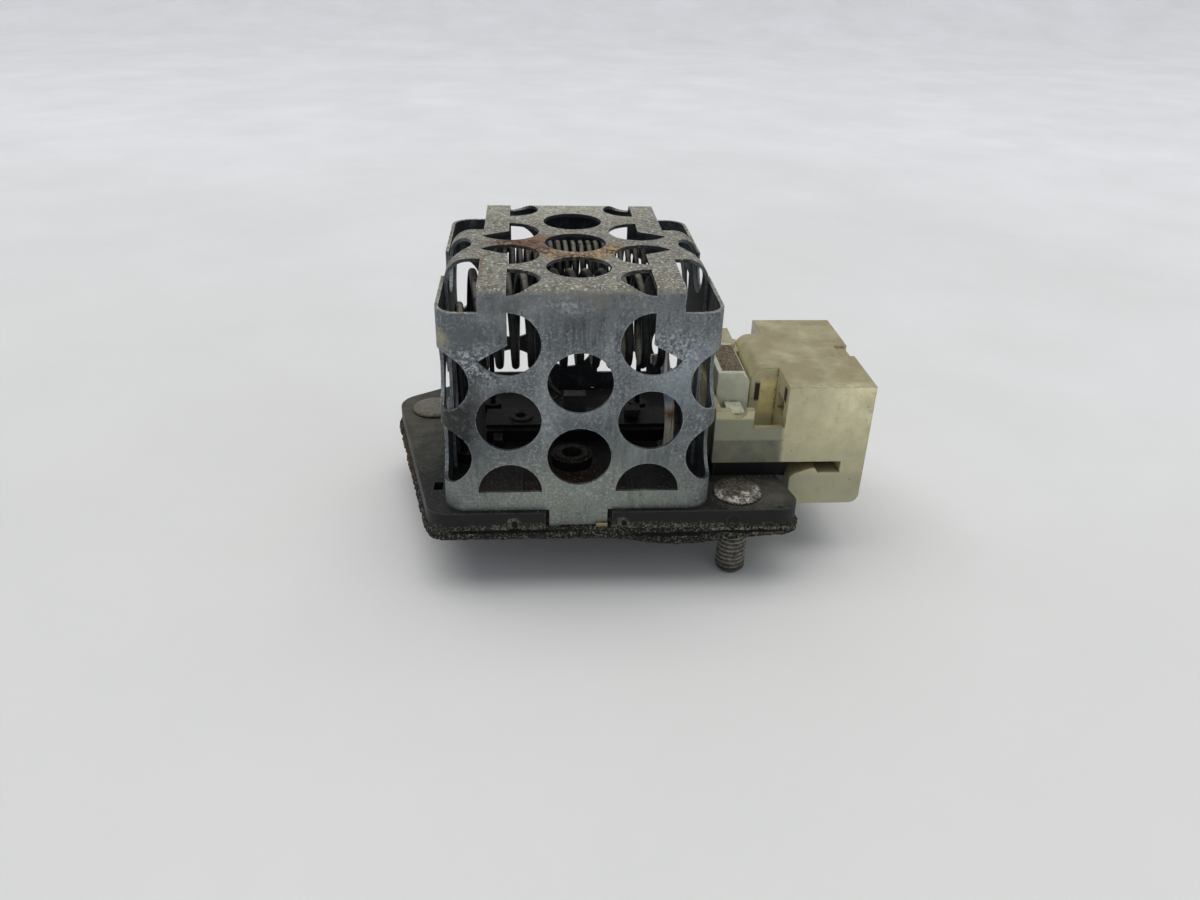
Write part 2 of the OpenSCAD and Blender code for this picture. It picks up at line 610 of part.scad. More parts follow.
// its two wires: one bends down into the platform, the other rises to the rear coil
module cutout_leads() color([0.5, 0.47, 0.42]) on_deck() {
    x = cutout_at[0] - 3 * fit_gap;
    tap = rear_r + rear_wire / 2 + 0.2;
    wire([[x, lead_front_y, platform_h + 4.3], [x - 1, lead_front_y - 0.1, platform_h + 4.9],
        [foot[0] + 0.6, foot[1] - 0.3, platform_h + 4.2], [foot[0], foot[1], platform_h + 3],
        [foot[0], foot[1], platform_h - 1.3]], lead_r, 8);
    top = [cutout_at[0] + lead_rise[0], cutout_at[1] + lead_rise[1], platform_h + lead_rise[2]];
    wire([[x, lead_rear_y, platform_h + 4.6], [x - 1.2, lead_rear_y + 0.1, platform_h + 5.6],
        [top[0] + 0.7, top[1] - 0.5, top[2] - 2.2], top, [top[0] - 0.2, rear_yc - 6, rear_zc - 13],
        [top[0] - 0.3, rear_yc - tap * sin(30), rear_zc - tap * cos(30)]], lead_r, 8);
}

// section of the hook below the main body, seen from the front: its arm carries a low barb
module hook_section() {
    union() {
        polygon([[hook_x, 0.4 - hook_drop], [hook_x + 0.4, -hook_drop], [right_x - 2, -hook_drop],
            [right_x, 2 - hook_drop], [right_x, house_z + join], [slot_end, house_z + join],
            [slot_end, hook_top], [hook_x + 5.7, hook_top], [hook_x + 5, hook_top + 1],
            [hook_x + 4.3, hook_top + 1], [hook_x + 0.9, hook_top - 0.2], [hook_x, hook_top - 1.1]]);
        translate([right_x - 2, 2 - hook_drop]) circle(r = 2, $fn = round);
    }
}

// the lock side of the housing: floor, low walls and the blocks behind the lock
module lock_side() {
    cube([side_w + join, housing_l - 0.8, lock_floor]);
    cube([7.7, 1.4, mid_wall]);
    cube([side_w + join, 1.4, low_wall]);
    cube([1.2, housing_l - 2.8, mid_wall]);
    translate([0, lock_y + lock_l + 0.2, 0]) cube([7.6, 9.4, housing_h - 0.4]);
    translate([7.5, lock_y + lock_l + 0.2, 0]) cube([1.6, 7, housing_h - 2]);
    translate([9, shoulder_y + shoulder_l - 0.1, 0]) cube([side_w - 9 + join, 7.6, 9]);
}

// shoulder between the lock side and the main body, rounded at its top left
module shoulder() {
    translate([side_w - shoulder_w, shoulder_y, 0]) {
        cube([shoulder_w + join, shoulder_l, housing_h - shoulder_r]);
        translate([shoulder_r, 0, 0]) cube([shoulder_w - shoulder_r + join, shoulder_l, housing_h]);
        translate([shoulder_r, 0, housing_h - shoulder_r]) rotate([-90, 0, 0])
            cylinder(r = shoulder_r, h = shoulder_l, $fn = 64);
    }
}

module housing() color([0.74, 0.7, 0.58]) difference() {
    union() {
        on_house() {
            translate([side_w, 0, 0]) cube([body_w, housing_l, housing_h]);
            lock_side();
            shoulder();
        }
        on_deck() translate([0, house_y + housing_l, 0]) rotate([90, 0, 0])
            linear_extrude(height = housing_l) hook_section();
    }
    on_house() {
        // mating cavity, open on the +X side
        translate([side_w + blade_wall, housing_wall, housing_wall])
            cube([body_w, housing_l - 2 * housing_wall, housing_h - 2 * housing_wall]);
        // latch notch in the top edge of the mouth
        translate([side_w + body_w - 2.8, 15.2, housing_h - 0.5]) cube([3.5, 5.6, 1]);
        translate([side_w + body_w - 0.5, 15.2, housing_h - 3]) cube([1, 5.6, 4]);
        // relief behind the shoulder
        translate([side_w - 0.6, shoulder_y + shoulder_l - 0.1, housing_h - 4]) cube([0.65, 9, 5]);
        // window in the main body beside the latch pocket
        translate([side_w - 1, 2.6, 8.8]) cube([2.6, 4.6, 3.4]);
        // half round dip in the front wall
        translate([4.6, -1, mid_wall]) rotate([-90, 0, 0]) cylinder(r = 1.6, h = 4, $fn = round);
        // slots for the blades and their legs
        for (k = [0:3]) translate([side_w + 1 - fit_gap, blade_y(k) - blade_w / 2 - fit_gap, 0]) {
            translate([0, 0, -1]) cube([blade_t + 2 * fit_gap, blade_w + 2 * fit_gap, blade_rise + 2]);
            translate([0, 0, blade_rise - fit_gap])
                cube([blade_wall, blade_w + 2 * fit_gap, blade_t + 2 * fit_gap]);
        }
    }
}

// pale lock block that stands in the lock side, with a recess in its top
module lock_block() color([0.82, 0.82, 0.76]) on_house()
    translate([lock_x, lock_y, lock_floor + rest_gap]) difference() {
        height = housing_h - lock_floor - rest_gap;
        union() {
            cube([lock_w - 1.2, lock_l, height]);
            cube([lock_w, lock_l, height - 2.2]);
            translate([lock_w - lock_r, 0, height - lock_r - 0.6]) rotate([-90, 0, 0])
                cylinder(r = lock_r, h = lock_l, $fn = round);
            // tongue behind the front wall
            translate([1.6, -5.4, 0]) cube([3.2, 5.4 + join, 8.4]);
        }
        translate([fill_rim, 1, height - fill_depth - rest_gap]) cube([lock_w - 2 * fill_rim, lock_l - 2, 2]);
    }

// rough brown filling in the top of the lock block
module lock_fill() color([0.45, 0.38, 0.3]) on_house()
    translate([lock_x + fill_rim + fit_gap, lock_y + 1 + fit_gap, housing_h - fill_depth])
        cube([lock_w - 2 * fill_rim - 2 * fit_gap, lock_l - 2 - 2 * fit_gap, fill_depth - 0.1]);

// blade with a leg that runs down through the housing into the pedestal
module blade(k) color([0.7, 0.66, 0.5]) on_deck() translate([leg_x, house_y + blade_y(k) - blade_w / 2, 0]) {
    translate([0, 0, 1]) cube([blade_t, blade_w, blade_z + blade_t - 1]);
    difference() {
        translate([0, 0, blade_z]) cube([blade_l, blade_w, blade_t]);
        // chamfered tip
        for (m = [0, 1]) translate([blade_l, m * blade_w, blade_z]) rotate([0, 0, 45])
            cube([1.4, 1.4, 3], center = true);
    }
}
module blade_1() blade(0);
module blade_2() blade(1);
module blade_3() blade(2);
module blade_4() blade(3);

base_plate();
gasket();
cage();
stud_front();
stud_rear();
front_coil();
rear_coil();
tap_strip();
left_eyelet();
centre_eyelet();
terminal_lug();
cutout();
cutout_leads();
housing();
lock_block();
lock_fill();
blade_1();
blade_2();
blade_3();
blade_4();
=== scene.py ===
"""Looks for a blower motor resistor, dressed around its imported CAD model.

Two resistance coils stand in a perforated cage on a moulded plate, with a foam gasket below it,
two threaded studs and a nylon connector housing at the side. Places are in millimetres in the
part's own frame, except those of the coils, which are measured from the middle of the cage's
bottom front edge.
"""
import json
import logging
import math
from dataclasses import dataclass, field
from enum import Enum

import bmesh
import bpy
from bpy.types import ID, Material, Node, NodeSocket, NodeTree, Object
from mathutils import Matrix, Vector, noise

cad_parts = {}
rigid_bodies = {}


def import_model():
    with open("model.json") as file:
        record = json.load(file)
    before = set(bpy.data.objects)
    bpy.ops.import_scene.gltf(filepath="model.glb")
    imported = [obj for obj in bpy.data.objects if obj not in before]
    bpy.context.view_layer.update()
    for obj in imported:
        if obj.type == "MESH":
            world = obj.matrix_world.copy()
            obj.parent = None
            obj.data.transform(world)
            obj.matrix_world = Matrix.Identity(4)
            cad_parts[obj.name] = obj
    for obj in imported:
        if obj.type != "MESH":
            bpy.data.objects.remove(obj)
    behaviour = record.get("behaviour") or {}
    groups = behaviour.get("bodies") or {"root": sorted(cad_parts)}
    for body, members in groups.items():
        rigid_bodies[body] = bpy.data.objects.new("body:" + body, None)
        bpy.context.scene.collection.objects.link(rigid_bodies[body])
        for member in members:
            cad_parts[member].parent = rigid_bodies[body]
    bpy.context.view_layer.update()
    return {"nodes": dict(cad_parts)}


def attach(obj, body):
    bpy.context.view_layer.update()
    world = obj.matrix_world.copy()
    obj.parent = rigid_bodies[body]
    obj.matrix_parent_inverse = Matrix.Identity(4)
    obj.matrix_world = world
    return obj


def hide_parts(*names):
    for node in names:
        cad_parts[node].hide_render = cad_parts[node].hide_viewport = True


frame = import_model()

BODY = "root"
MM = 0.001
MERGE = 0.0005 * MM
DECK = Vector((-0.4, -24.5, 5.7))
log = logging.getLogger("blower_resistor")

Triple = tuple[float, float, float]
Point = Vector | Triple
Feed = Node | NodeSocket | float


def linear(code: str) -> tuple[float, float, float, float]:
    """Turns an sRGB hex colour into the linear values that a shader takes.

    Args:
        code: the colour as six hex digits after a hash.

    Returns:
        Linear red, green and blue, and an alpha of 1.
    """
    parts = [int(code[i:i + 2], 16) / 255 for i in (1, 3, 5)]
    shown = [c / 12.92 if c <= 0.04045 else ((c + 0.055) / 1.055) ** 2.4 for c in parts]
    return (*shown, 1.0)


def add(tree: NodeTree, kind: str, inputs: dict | None = None, **settings: object) -> Node:
    """Adds a node to a tree, with its settings, values and links.

    Args:
        tree: the shader or geometry tree.
        kind: the node's type name.
        inputs: for each input, by name or number, a value, or the socket or node that feeds it.
            A node feeds it from its first output.
        **settings: properties of the node.

    Returns:
        The new node.
    """
    node = tree.nodes.new(kind)
    for name, value in settings.items():
        setattr(node, name, value)
    for key, value in (inputs or {}).items():
        source = value.outputs[0] if isinstance(value, Node) else value
        if isinstance(source, NodeSocket):
            tree.links.new(source, node.inputs[key])
        else:
            node.inputs[key].default_value = source
    return node


# Finishes


class Pattern(Enum):
    """What breaks up the edge of a layer."""

    EVEN = "even"
    CLOUD = "cloud"
    SPECKS = "specks"


class Facing(Enum):
    """Which way a face has to look for a layer to lie on it."""

    ANY = (0.0, 0.0, 0.0)
    UP = (0.0, 0.0, 1.0)
    FRONT = (0.0, -1.0, 0.0)


@dataclass(frozen=True)
class Spot:
    """A soft ellipsoid, or box, with a ragged rim that a layer stays inside, in millimetres."""

    centre: Triple
    reach: Triple
    ragged: float = 0.4
    soft: float = 0.5
    boxy: bool = False

    def mask(self, tree: NodeTree, place: NodeSocket) -> Node:
        """Builds the spot's mask.

        Args:
            tree: the material's tree.
            place: the object coordinates.

        Returns:
            A node that gives 1 in the middle of the spot and 0 outside.
        """
        away = add(tree, "ShaderNodeVectorMath", {0: place, 1: [c * MM for c in self.centre]},
                   operation="SUBTRACT")
        away = add(tree, "ShaderNodeVectorMath", {0: away, 1: [c * MM for c in self.reach]},
                   operation="DIVIDE")
        if self.boxy:
            away = add(tree, "ShaderNodeVectorMath", {0: away}, operation="ABSOLUTE")
            x, y, z = add(tree, "ShaderNodeSeparateXYZ", {0: away}).outputs
            out = add(tree, "ShaderNodeMath", {0: x, 1: y}, operation="MAXIMUM")
            out = add(tree, "ShaderNodeMath", {0: out, 1: z}, operation="MAXIMUM")
        else:
            out = add(tree, "ShaderNodeVectorMath", {0: away}, operation="LENGTH").outputs["Value"]
        wave = 0.5 * min(self.reach) * MM
        rim = add(tree, "ShaderNodeTexNoise", {"Vector": place, "Scale": 1 / wave, "Detail": 4.0})
        out = add(tree, "ShaderNodeMath", {0: rim, 1: 2 * self.ragged, 2: out}, operation="MULTIPLY_ADD")
        top = 1 + self.ragged
        return add(tree, "ShaderNodeMapRange", {0: out, 1: top - self.soft, 2: top, 3: 1.0, 4: 0.0})


@dataclass(frozen=True)
class Layer:
    """One thing that lies on a finish or marks it: dust, rust, a stain, wear or grain, or painted light and
    shade.

    size_mm is the size of its pattern, and cut and soft give where the pattern begins and how
    softly. patch_mm gathers it in patches of that size, edge_mm keeps it on edges, crevice_mm in
    corners that open within that distance, and inside_of on the faces that look at that point.
    shift moves the pattern, so that two layers don't lie on the same grains.
    """

    colour: str | None
    size_mm: float = 1.0
    pattern: Pattern = Pattern.CLOUD
    stretch: Triple = (1.0, 1.0, 1.0)
    cut: float = 0.5
    soft: float = 0.2
    amount: float = 1.0
    roughness: float | None = None
    metallic: float | None = None
    raise_mm: float = 0.0
    facing: Facing = Facing.ANY
    spots: tuple[Spot, ...] = ()
    patch_mm: float = 0.0
    edge_mm: float = 0.0
    crevice_mm: float = 0.0
    inside_of: Triple | None = None
    shift: float = 0.0

    def pattern_mask(self, tree: NodeTree, place: NodeSocket) -> Node:
        """Builds the broken-up mask of the layer, before it is kept to a place.

        Args:
            tree: the material's tree.
            place: the object coordinates.

        Returns:
            The mask's node.
        """
        moved = [self.shift * k for k in (0.37, 0.21, 0.53)]
        at = add(tree, "ShaderNodeMapping", {"Vector": place, "Location": moved, "Scale": self.stretch})
        sizes = {"Vector": at, "Scale": 1 / (self.size_mm * MM)}
        low, high = self.cut - self.soft / 2, self.cut + self.soft / 2
        if self.pattern is Pattern.SPECKS:
            away = add(tree, "ShaderNodeTexVoronoi", sizes)
            return add(tree, "ShaderNodeMapRange", {0: away, 1: low, 2: high, 3: self.amount, 4: 0.0})
        cloud = add(tree, "ShaderNodeTexNoise", sizes | {"Detail": 5.0, "Roughness": 0.62})
        return add(tree, "ShaderNodeMapRange", {0: cloud, 1: low, 2: high, 3: 0.0, 4: self.amount})

    def place_masks(self, tree: NodeTree, place: NodeSocket, normal: NodeSocket) -> list[Node]:
        """Builds the masks that keep the layer where it lies.

        Args:
            tree: the material's tree.
            place: the object coordinates.
            normal: the surface normal.

        Returns:
            One node for each limit that the layer has.
        """
        masks = []
        if self.patch_mm:
            at = add(tree, "ShaderNodeMapping", {"Vector": place, "Location": (0.7 + self.shift, 0.3, 0.1)})
            cloud = add(tree, "ShaderNodeTexNoise", {"Vector": at, "Scale": 1 / (self.patch_mm * MM),
                                                    "Detail": 3.0})
            masks.append(add(tree, "ShaderNodeMapRange", {0: cloud, 1: 0.4, 2: 0.62}))
        if self.facing is not Facing.ANY:
            # Whole on faces within about 30 degrees of the way, and gone beyond about 70
            turned = add(tree, "ShaderNodeVectorMath", {0: normal, 1: self.facing.value},
                         operation="DOT_PRODUCT").outputs["Value"]
            masks.append(add(tree, "ShaderNodeMapRange", {0: turned, 1: 0.35, 2: 0.85}))
        if self.spots:
            first, *rest = (s.mask(tree, place) for s in self.spots)
            for other in rest:
                first = add(tree, "ShaderNodeMath", {0: first, 1: other}, operation="MAXIMUM")
            masks.append(first)
        if self.edge_mm:
            # An edge is where a rounded normal leans away from the true one
            rounded = add(tree, "ShaderNodeBevel", {"Radius": self.edge_mm * MM}, samples=4)
            true = add(tree, "ShaderNodeNewGeometry").outputs["Normal"]
            along = add(tree, "ShaderNodeVectorMath", {0: rounded, 1: true},
                        operation="DOT_PRODUCT").outputs["Value"]
            masks.append(add(tree, "ShaderNodeMapRange", {0: along, 1: 0.99, 2: 0.9, 3: 0.0, 4: 1.0}))
        if self.inside_of:
            inward = add(tree, "ShaderNodeVectorMath", {0: [c * MM for c in self.inside_of], 1: place},
                         operation="SUBTRACT")
            inward = add(tree, "ShaderNodeVectorMath", {0: inward}, operation="NORMALIZE")
            turned = add(tree, "ShaderNodeVectorMath", {0: normal, 1: inward},
                         operation="DOT_PRODUCT").outputs["Value"]
            masks.append(add(tree, "ShaderNodeMapRange", {0: turned, 1: -0.1, 2: 0.2}))
        if self.crevice_mm:
            open_sky = add(tree, "ShaderNodeAmbientOcclusion", {"Distance": self.crevice_mm * MM},
                           samples=6).outputs["AO"]
            masks.append(add(tree, "ShaderNodeMapRange", {0: open_sky, 1: 0.95, 2: 0.5}))
        return masks

    def mask(self, tree: NodeTree, place: NodeSocket, normal: NodeSocket) -> Feed:
        """Builds the whole mask of the layer.

        Args:
            tree: the material's tree.
            place: the object coordinates.
            normal: the surface normal.

        Returns:
            The mask's node, or the plain amount if nothing limits the layer.
        """
        whole = self.amount if self.pattern is Pattern.EVEN else self.pattern_mask(tree, place)
        for part in self.place_masks(tree, place, normal):
            whole = add(tree, "ShaderNodeMath", {0: part, 1: whole}, operation="MULTIPLY")
        return whole


@dataclass(frozen=True)
class Finish:
    """A material and how its surface was made, with the layers that time has left on it and layers of painted
    light and shade.

    A metal keeps the default IOR. subsurface_mm is how deep light goes into a plastic, and
    specular lowers the sheen of one that is dull with dust.
    """

    name: str
    colour: str
    roughness: float
    metallic: float = 0.0
    ior: float = 1.5
    specular: float = 0.5
    subsurface: float = 0.0
    subsurface_mm: float = 1.0
    layers: tuple[Layer, ...] = ()

    def material(self) -> Material:
        """Builds the material, or gives the one that was built before.

        Returns:
            The material.
        """
        if self.name in bpy.data.materials:
            return bpy.data.materials[self.name]
        made = bpy.data.materials.new(self.name)
        made.use_nodes = True
        tree = made.node_tree
        tree.nodes.clear()
        where = add(tree, "ShaderNodeTexCoord")
        place, normal = where.outputs["Object"], where.outputs["Normal"]
        colour, rough, metal, height = linear(self.colour), self.roughness, self.metallic, None
        for layer in self.layers:
            mask = layer.mask(tree, place, normal)
            if layer.colour:
                colour = add(tree, "ShaderNodeMix", {0: mask, 6: colour, 7: linear(layer.colour)},
                             data_type="RGBA").outputs[2]
            if layer.roughness is not None:
                rough = add(tree, "ShaderNodeMix", {0: mask, 2: rough, 3: layer.roughness})
            if layer.metallic is not None:
                metal = add(tree, "ShaderNodeMix", {0: mask, 2: metal, 3: layer.metallic})
            if layer.raise_mm:
                height = add(tree, "ShaderNodeMath", {0: mask, 1: layer.raise_mm, 2: height or 0.0},
                             operation="MULTIPLY_ADD")
        inputs = {"Base Color": colour, "Roughness": rough, "Metallic": metal, "IOR": self.ior,
                  "Specular IOR Level": self.specular}
        if self.subsurface:
            inputs |= {"Subsurface Weight": self.subsurface, "Subsurface Radius": (1.0, 0.75, 0.45),
                       "Subsurface Scale": self.subsurface_mm * MM}
        if height is not None:
            inputs["Normal"] = add(tree, "ShaderNodeBump", {"Strength": 1.0, "Distance": MM,
                                                            "Height": height})
        shader = add(tree, "ShaderNodeBsdfPrincipled", inputs)
        add(tree, "ShaderNodeOutputMaterial", {"Surface": shader})
        return made


# The planes that spots lie on, in millimetres: the cage's front sheet and its top, the plate's
# top, and the front rim of the gasket.
FRONT, TOP, PLATE, RIM = -24.5, 50.1, 5.7, -27.0

# Zinc plated mild steel sheet, punched and folded, then years in damp air: a matt blue-grey
# skin with a fine grain, pale bloom, faint vertical runs and beige dust where it lies flat.
# Its bloom has crystals of some 0.05 mm, drawn at 0.5 to 0.7 mm so that they show.
TOP_PANEL = (Spot((-0.4, 3.4, 51.0), (60.0, 60.0, 7.0), 0.05, 0.3, boxy=True),)
ON_TOP = (Spot((-8.5, 2.0, TOP), (9.5, 7.0, 2.0), 0.5), Spot((0.0, -5.5, TOP), (9.0, 4.6, 2.0), 0.5),
          Spot((6.0, -2.5, TOP), (4.5, 5.5, 2.0), 0.5))
RUST_CORE = (Spot((-11.5, 1.6, TOP), (6.0, 3.4, 2.0), 0.6, 0.4),
             Spot((-7.2, -3.5, TOP), (4.0, 3.5, 2.0), 0.6, 0.4),
             Spot((-1.5, -6.6, TOP), (5.5, 1.7, 2.0), 0.6, 0.4),
             Spot((7.2, -3.2, TOP), (2.6, 4.4, 2.0), 0.6, 0.4))
WEATHERED_ZINC = Finish("weathered_zinc_plate", "#7e8385", 0.5, metallic=0.45, layers=(
    Layer("#595f62", 13.0, cut=0.47, amount=0.8),
    Layer("#969b9b", 6.0, cut=0.57, soft=0.16, amount=0.5, shift=0.5),
    Layer("#575d60", 2.4, stretch=(1.0, 1.0, 0.5), cut=0.52, soft=0.3, amount=0.4, roughness=0.6,
          shift=1.0),
    Layer("#83897c", 4.0, cut=0.3, soft=0.3, amount=0.85, metallic=0.3,
          spots=(Spot((-0.4, FRONT, 7.0), (36.0, 5.0, 15.0), 0.25, 0.6),), shift=1.5),
    Layer("#95a0a4", 4.0, cut=0.34, soft=0.3, amount=0.75,
          spots=(Spot((18.5, FRONT, 34.0), (10.0, 5.0, 9.0), 0.4, 0.8),), shift=1.6),
    Layer("#726d60", 2.2, cut=0.42, soft=0.3, amount=0.6, roughness=0.7, metallic=0.15,
          spots=(Spot((-25.5, -22.0, 33.0), (3.4, 5.0, 12.0), 0.3, 0.8),), shift=1.9),
    Layer("#383d40", 0.9, stretch=(1.0, 1.0, 0.1), cut=0.52, soft=0.14, amount=0.7, facing=Facing.FRONT,
          spots=(Spot((-1.0, FRONT, 41.0), (19.0, 4.0, 7.5), 0.4, 0.8),), shift=2.0),
    Layer("#464c50", 1.1, stretch=(1.0, 1.0, 0.2), cut=0.54, soft=0.14, amount=0.5, patch_mm=8.0,
          shift=2.5),
    Layer("#33383c", 0.5, cut=0.55, soft=0.12, amount=0.55, patch_mm=16.0, shift=2.8),
    Layer("#aab0ae", 0.5, cut=0.56, soft=0.12, amount=0.55, roughness=0.65, metallic=0.3, raise_mm=0.01,
          patch_mm=16.0, shift=3.0),
    Layer("#c2c6c2", 0.6, cut=0.58, soft=0.1, amount=0.4, roughness=0.75, metallic=0.1, raise_mm=0.015,
          patch_mm=7.0, shift=3.5),
    Layer("#4d504d", 5.0, amount=0.5, facing=Facing.FRONT,
          spots=(Spot((-6.0, FRONT, 46.5), (17.0, 3.0, 3.4), 0.5, 0.8),), shift=3.6),
    Layer("#2d333a", 0.6, cut=0.54, soft=0.1, amount=0.75, facing=Facing.FRONT,
          spots=(Spot((15.0, FRONT, 38.5), (8.0, 3.0, 4.5), 0.4, 0.6),
                 Spot((-17.0, FRONT, 36.0), (8.0, 3.0, 6.0), 0.4, 0.6)), shift=3.7),
    Layer("#c2c9ca", 0.6, cut=0.55, soft=0.1, amount=0.7, roughness=0.7, metallic=0.2,
          facing=Facing.FRONT, spots=(Spot((15.0, FRONT, 38.0), (9.0, 3.0, 6.0), 0.5, 0.6),
                                      Spot((-19.0, FRONT, 36.0), (8.0, 3.0, 5.0), 0.5, 0.6)), shift=3.75),
    Layer("#b9bebc", 0.7, soft=0.14, amount=0.6, roughness=0.75, metallic=0.1,
          spots=(Spot((-3.5, FRONT, 47.0), (6.0, 2.0, 2.0), 0.8, 0.8),
                 Spot((-9.0, FRONT, 24.5), (7.0, 2.0, 5.0), 0.8, 0.9)), shift=3.8),
    # Painted shade and dirt: the left web and the sheet beside the left hole are near black, where the sheet
    # curves round the corner.
    Layer("#1f1f1b", 2.0, cut=0.36, soft=0.3, amount=0.92, roughness=0.7, metallic=0.2,
          spots=(Spot((-23.5, -24.0, 25.5), (8.5, 6.0, 11.0), 0.35, 0.6),
                 Spot((-14.5, FRONT, 28.0), (5.0, 4.0, 4.0), 0.5, 0.9)), shift=1.8),
    Layer("#77756a", 1.3, soft=0.12, amount=0.85, roughness=0.8, metallic=0.15,
          spots=(Spot((-0.4, -23.5, 48.6), (19.5, 3.0, 3.0), 0.4, 0.8, boxy=True),), shift=3.9),
    Layer("#908b78", 3.0, cut=0.36, soft=0.3, amount=0.87, roughness=0.8, metallic=0.15,
          facing=Facing.UP, spots=TOP_PANEL, shift=4.0),
    Layer("#54534a", 1.4, soft=0.16, amount=0.65, metallic=0.1, facing=Facing.UP, spots=TOP_PANEL,
          shift=4.5),
    Layer("#c0bca8", 2.4, cut=0.42, soft=0.3, amount=0.6, facing=Facing.UP,
          spots=(Spot((-0.4, 27.0, TOP), (26.0, 13.0, 3.0), 0.3, 0.8),), shift=4.2),
    Layer("#3d3c34", 0.55, cut=0.56, soft=0.1, amount=0.6, facing=Facing.UP, spots=TOP_PANEL, shift=4.8),
    Layer("#d2d1c6", 0.6, cut=0.59, soft=0.08, amount=0.75, roughness=0.85, metallic=0.0, raise_mm=0.02,
          facing=Facing.UP, spots=TOP_PANEL, shift=5.0),
    Layer("#a9a183", 1.2, cut=0.4, soft=0.3, amount=0.7, roughness=0.8, metallic=0.0,
          spots=(Spot((-25.0, -22.8, 40.4), (2.6, 2.6, 2.2), 0.3, 0.6),)),
    Layer("#b39a68", 1.2, cut=0.36, amount=0.9, roughness=0.8, metallic=0.0,
          spots=(Spot((4.2, -25.0, 2.4), (1.7, 1.2, 1.0), 0.3, 0.4),)),
    Layer("#8e8a6c", 1.6, amount=0.6, roughness=0.8, metallic=0.1,
          spots=(Spot((-4.5, -25.0, 5.0), (3.0, 2.0, 3.4), 0.4, 0.7),), shift=5.5),
    Layer("#766049", 2.0, cut=0.38, soft=0.24, amount=0.92, roughness=0.9, metallic=0.0, spots=ON_TOP,
          shift=6.0),
    Layer("#2e1c13", 1.1, cut=0.48, soft=0.1, amount=0.92, roughness=0.95, metallic=0.0, raise_mm=0.08,
          spots=RUST_CORE, shift=7.0),
    Layer("#72503a", 0.8, cut=0.52, soft=0.1, amount=0.85, roughness=0.95, metallic=0.0, raise_mm=0.06,
          spots=ON_TOP[:1], shift=7.5),
    Layer("#ad9669", 0.8, stretch=(1.0, 0.5, 1.0), cut=0.53, soft=0.08, amount=0.85, roughness=0.95,
          metallic=0.0, raise_mm=0.06, spots=ON_TOP[1:], shift=8.0),
    Layer("#6b4a38", 0.8, cut=0.45, amount=0.8, roughness=0.9, metallic=0.0,
          spots=(Spot((-18.3, -14.0, 49.8), (0.9, 10.0, 1.2), 0.3),), shift=8.5),
    Layer("#bcc0bd", 0.8, soft=0.12, amount=0.75, roughness=0.8, metallic=0.1, edge_mm=0.28, shift=9.0),
    Layer("#352d24", 0.7, cut=0.4, amount=0.9, roughness=0.9, metallic=0.0, facing=Facing.FRONT,
          spots=(Spot((-0.4, 7.0, 49.5), (24.0, 27.0, 1.6), 0.05, 0.15, boxy=True),), shift=9.1),
    # Painted shade: the faces that look into the cage are blue-black.
    Layer("#1d2229", 3.0, cut=0.3, soft=0.4, amount=0.9, roughness=0.6, metallic=0.2,
          inside_of=(-0.4, 3.4, 24.0), shift=9.2),
    # Painted shade: the hole edges on the inside of the right wall are near black.
    Layer("#16191c", pattern=Pattern.EVEN, amount=0.85, roughness=0.7, metallic=0.1,
          spots=(Spot((24.2, 3.0, 40.0), (0.8, 14.0, 9.0), 0.1, 0.3, boxy=True),)),
    Layer("#26241f", 0.7, cut=0.4, soft=0.3, amount=0.8, roughness=0.9, metallic=0.0, crevice_mm=0.8,
          shift=9.5),
    Layer(None, 0.3, raise_mm=0.015, shift=10.0),
))
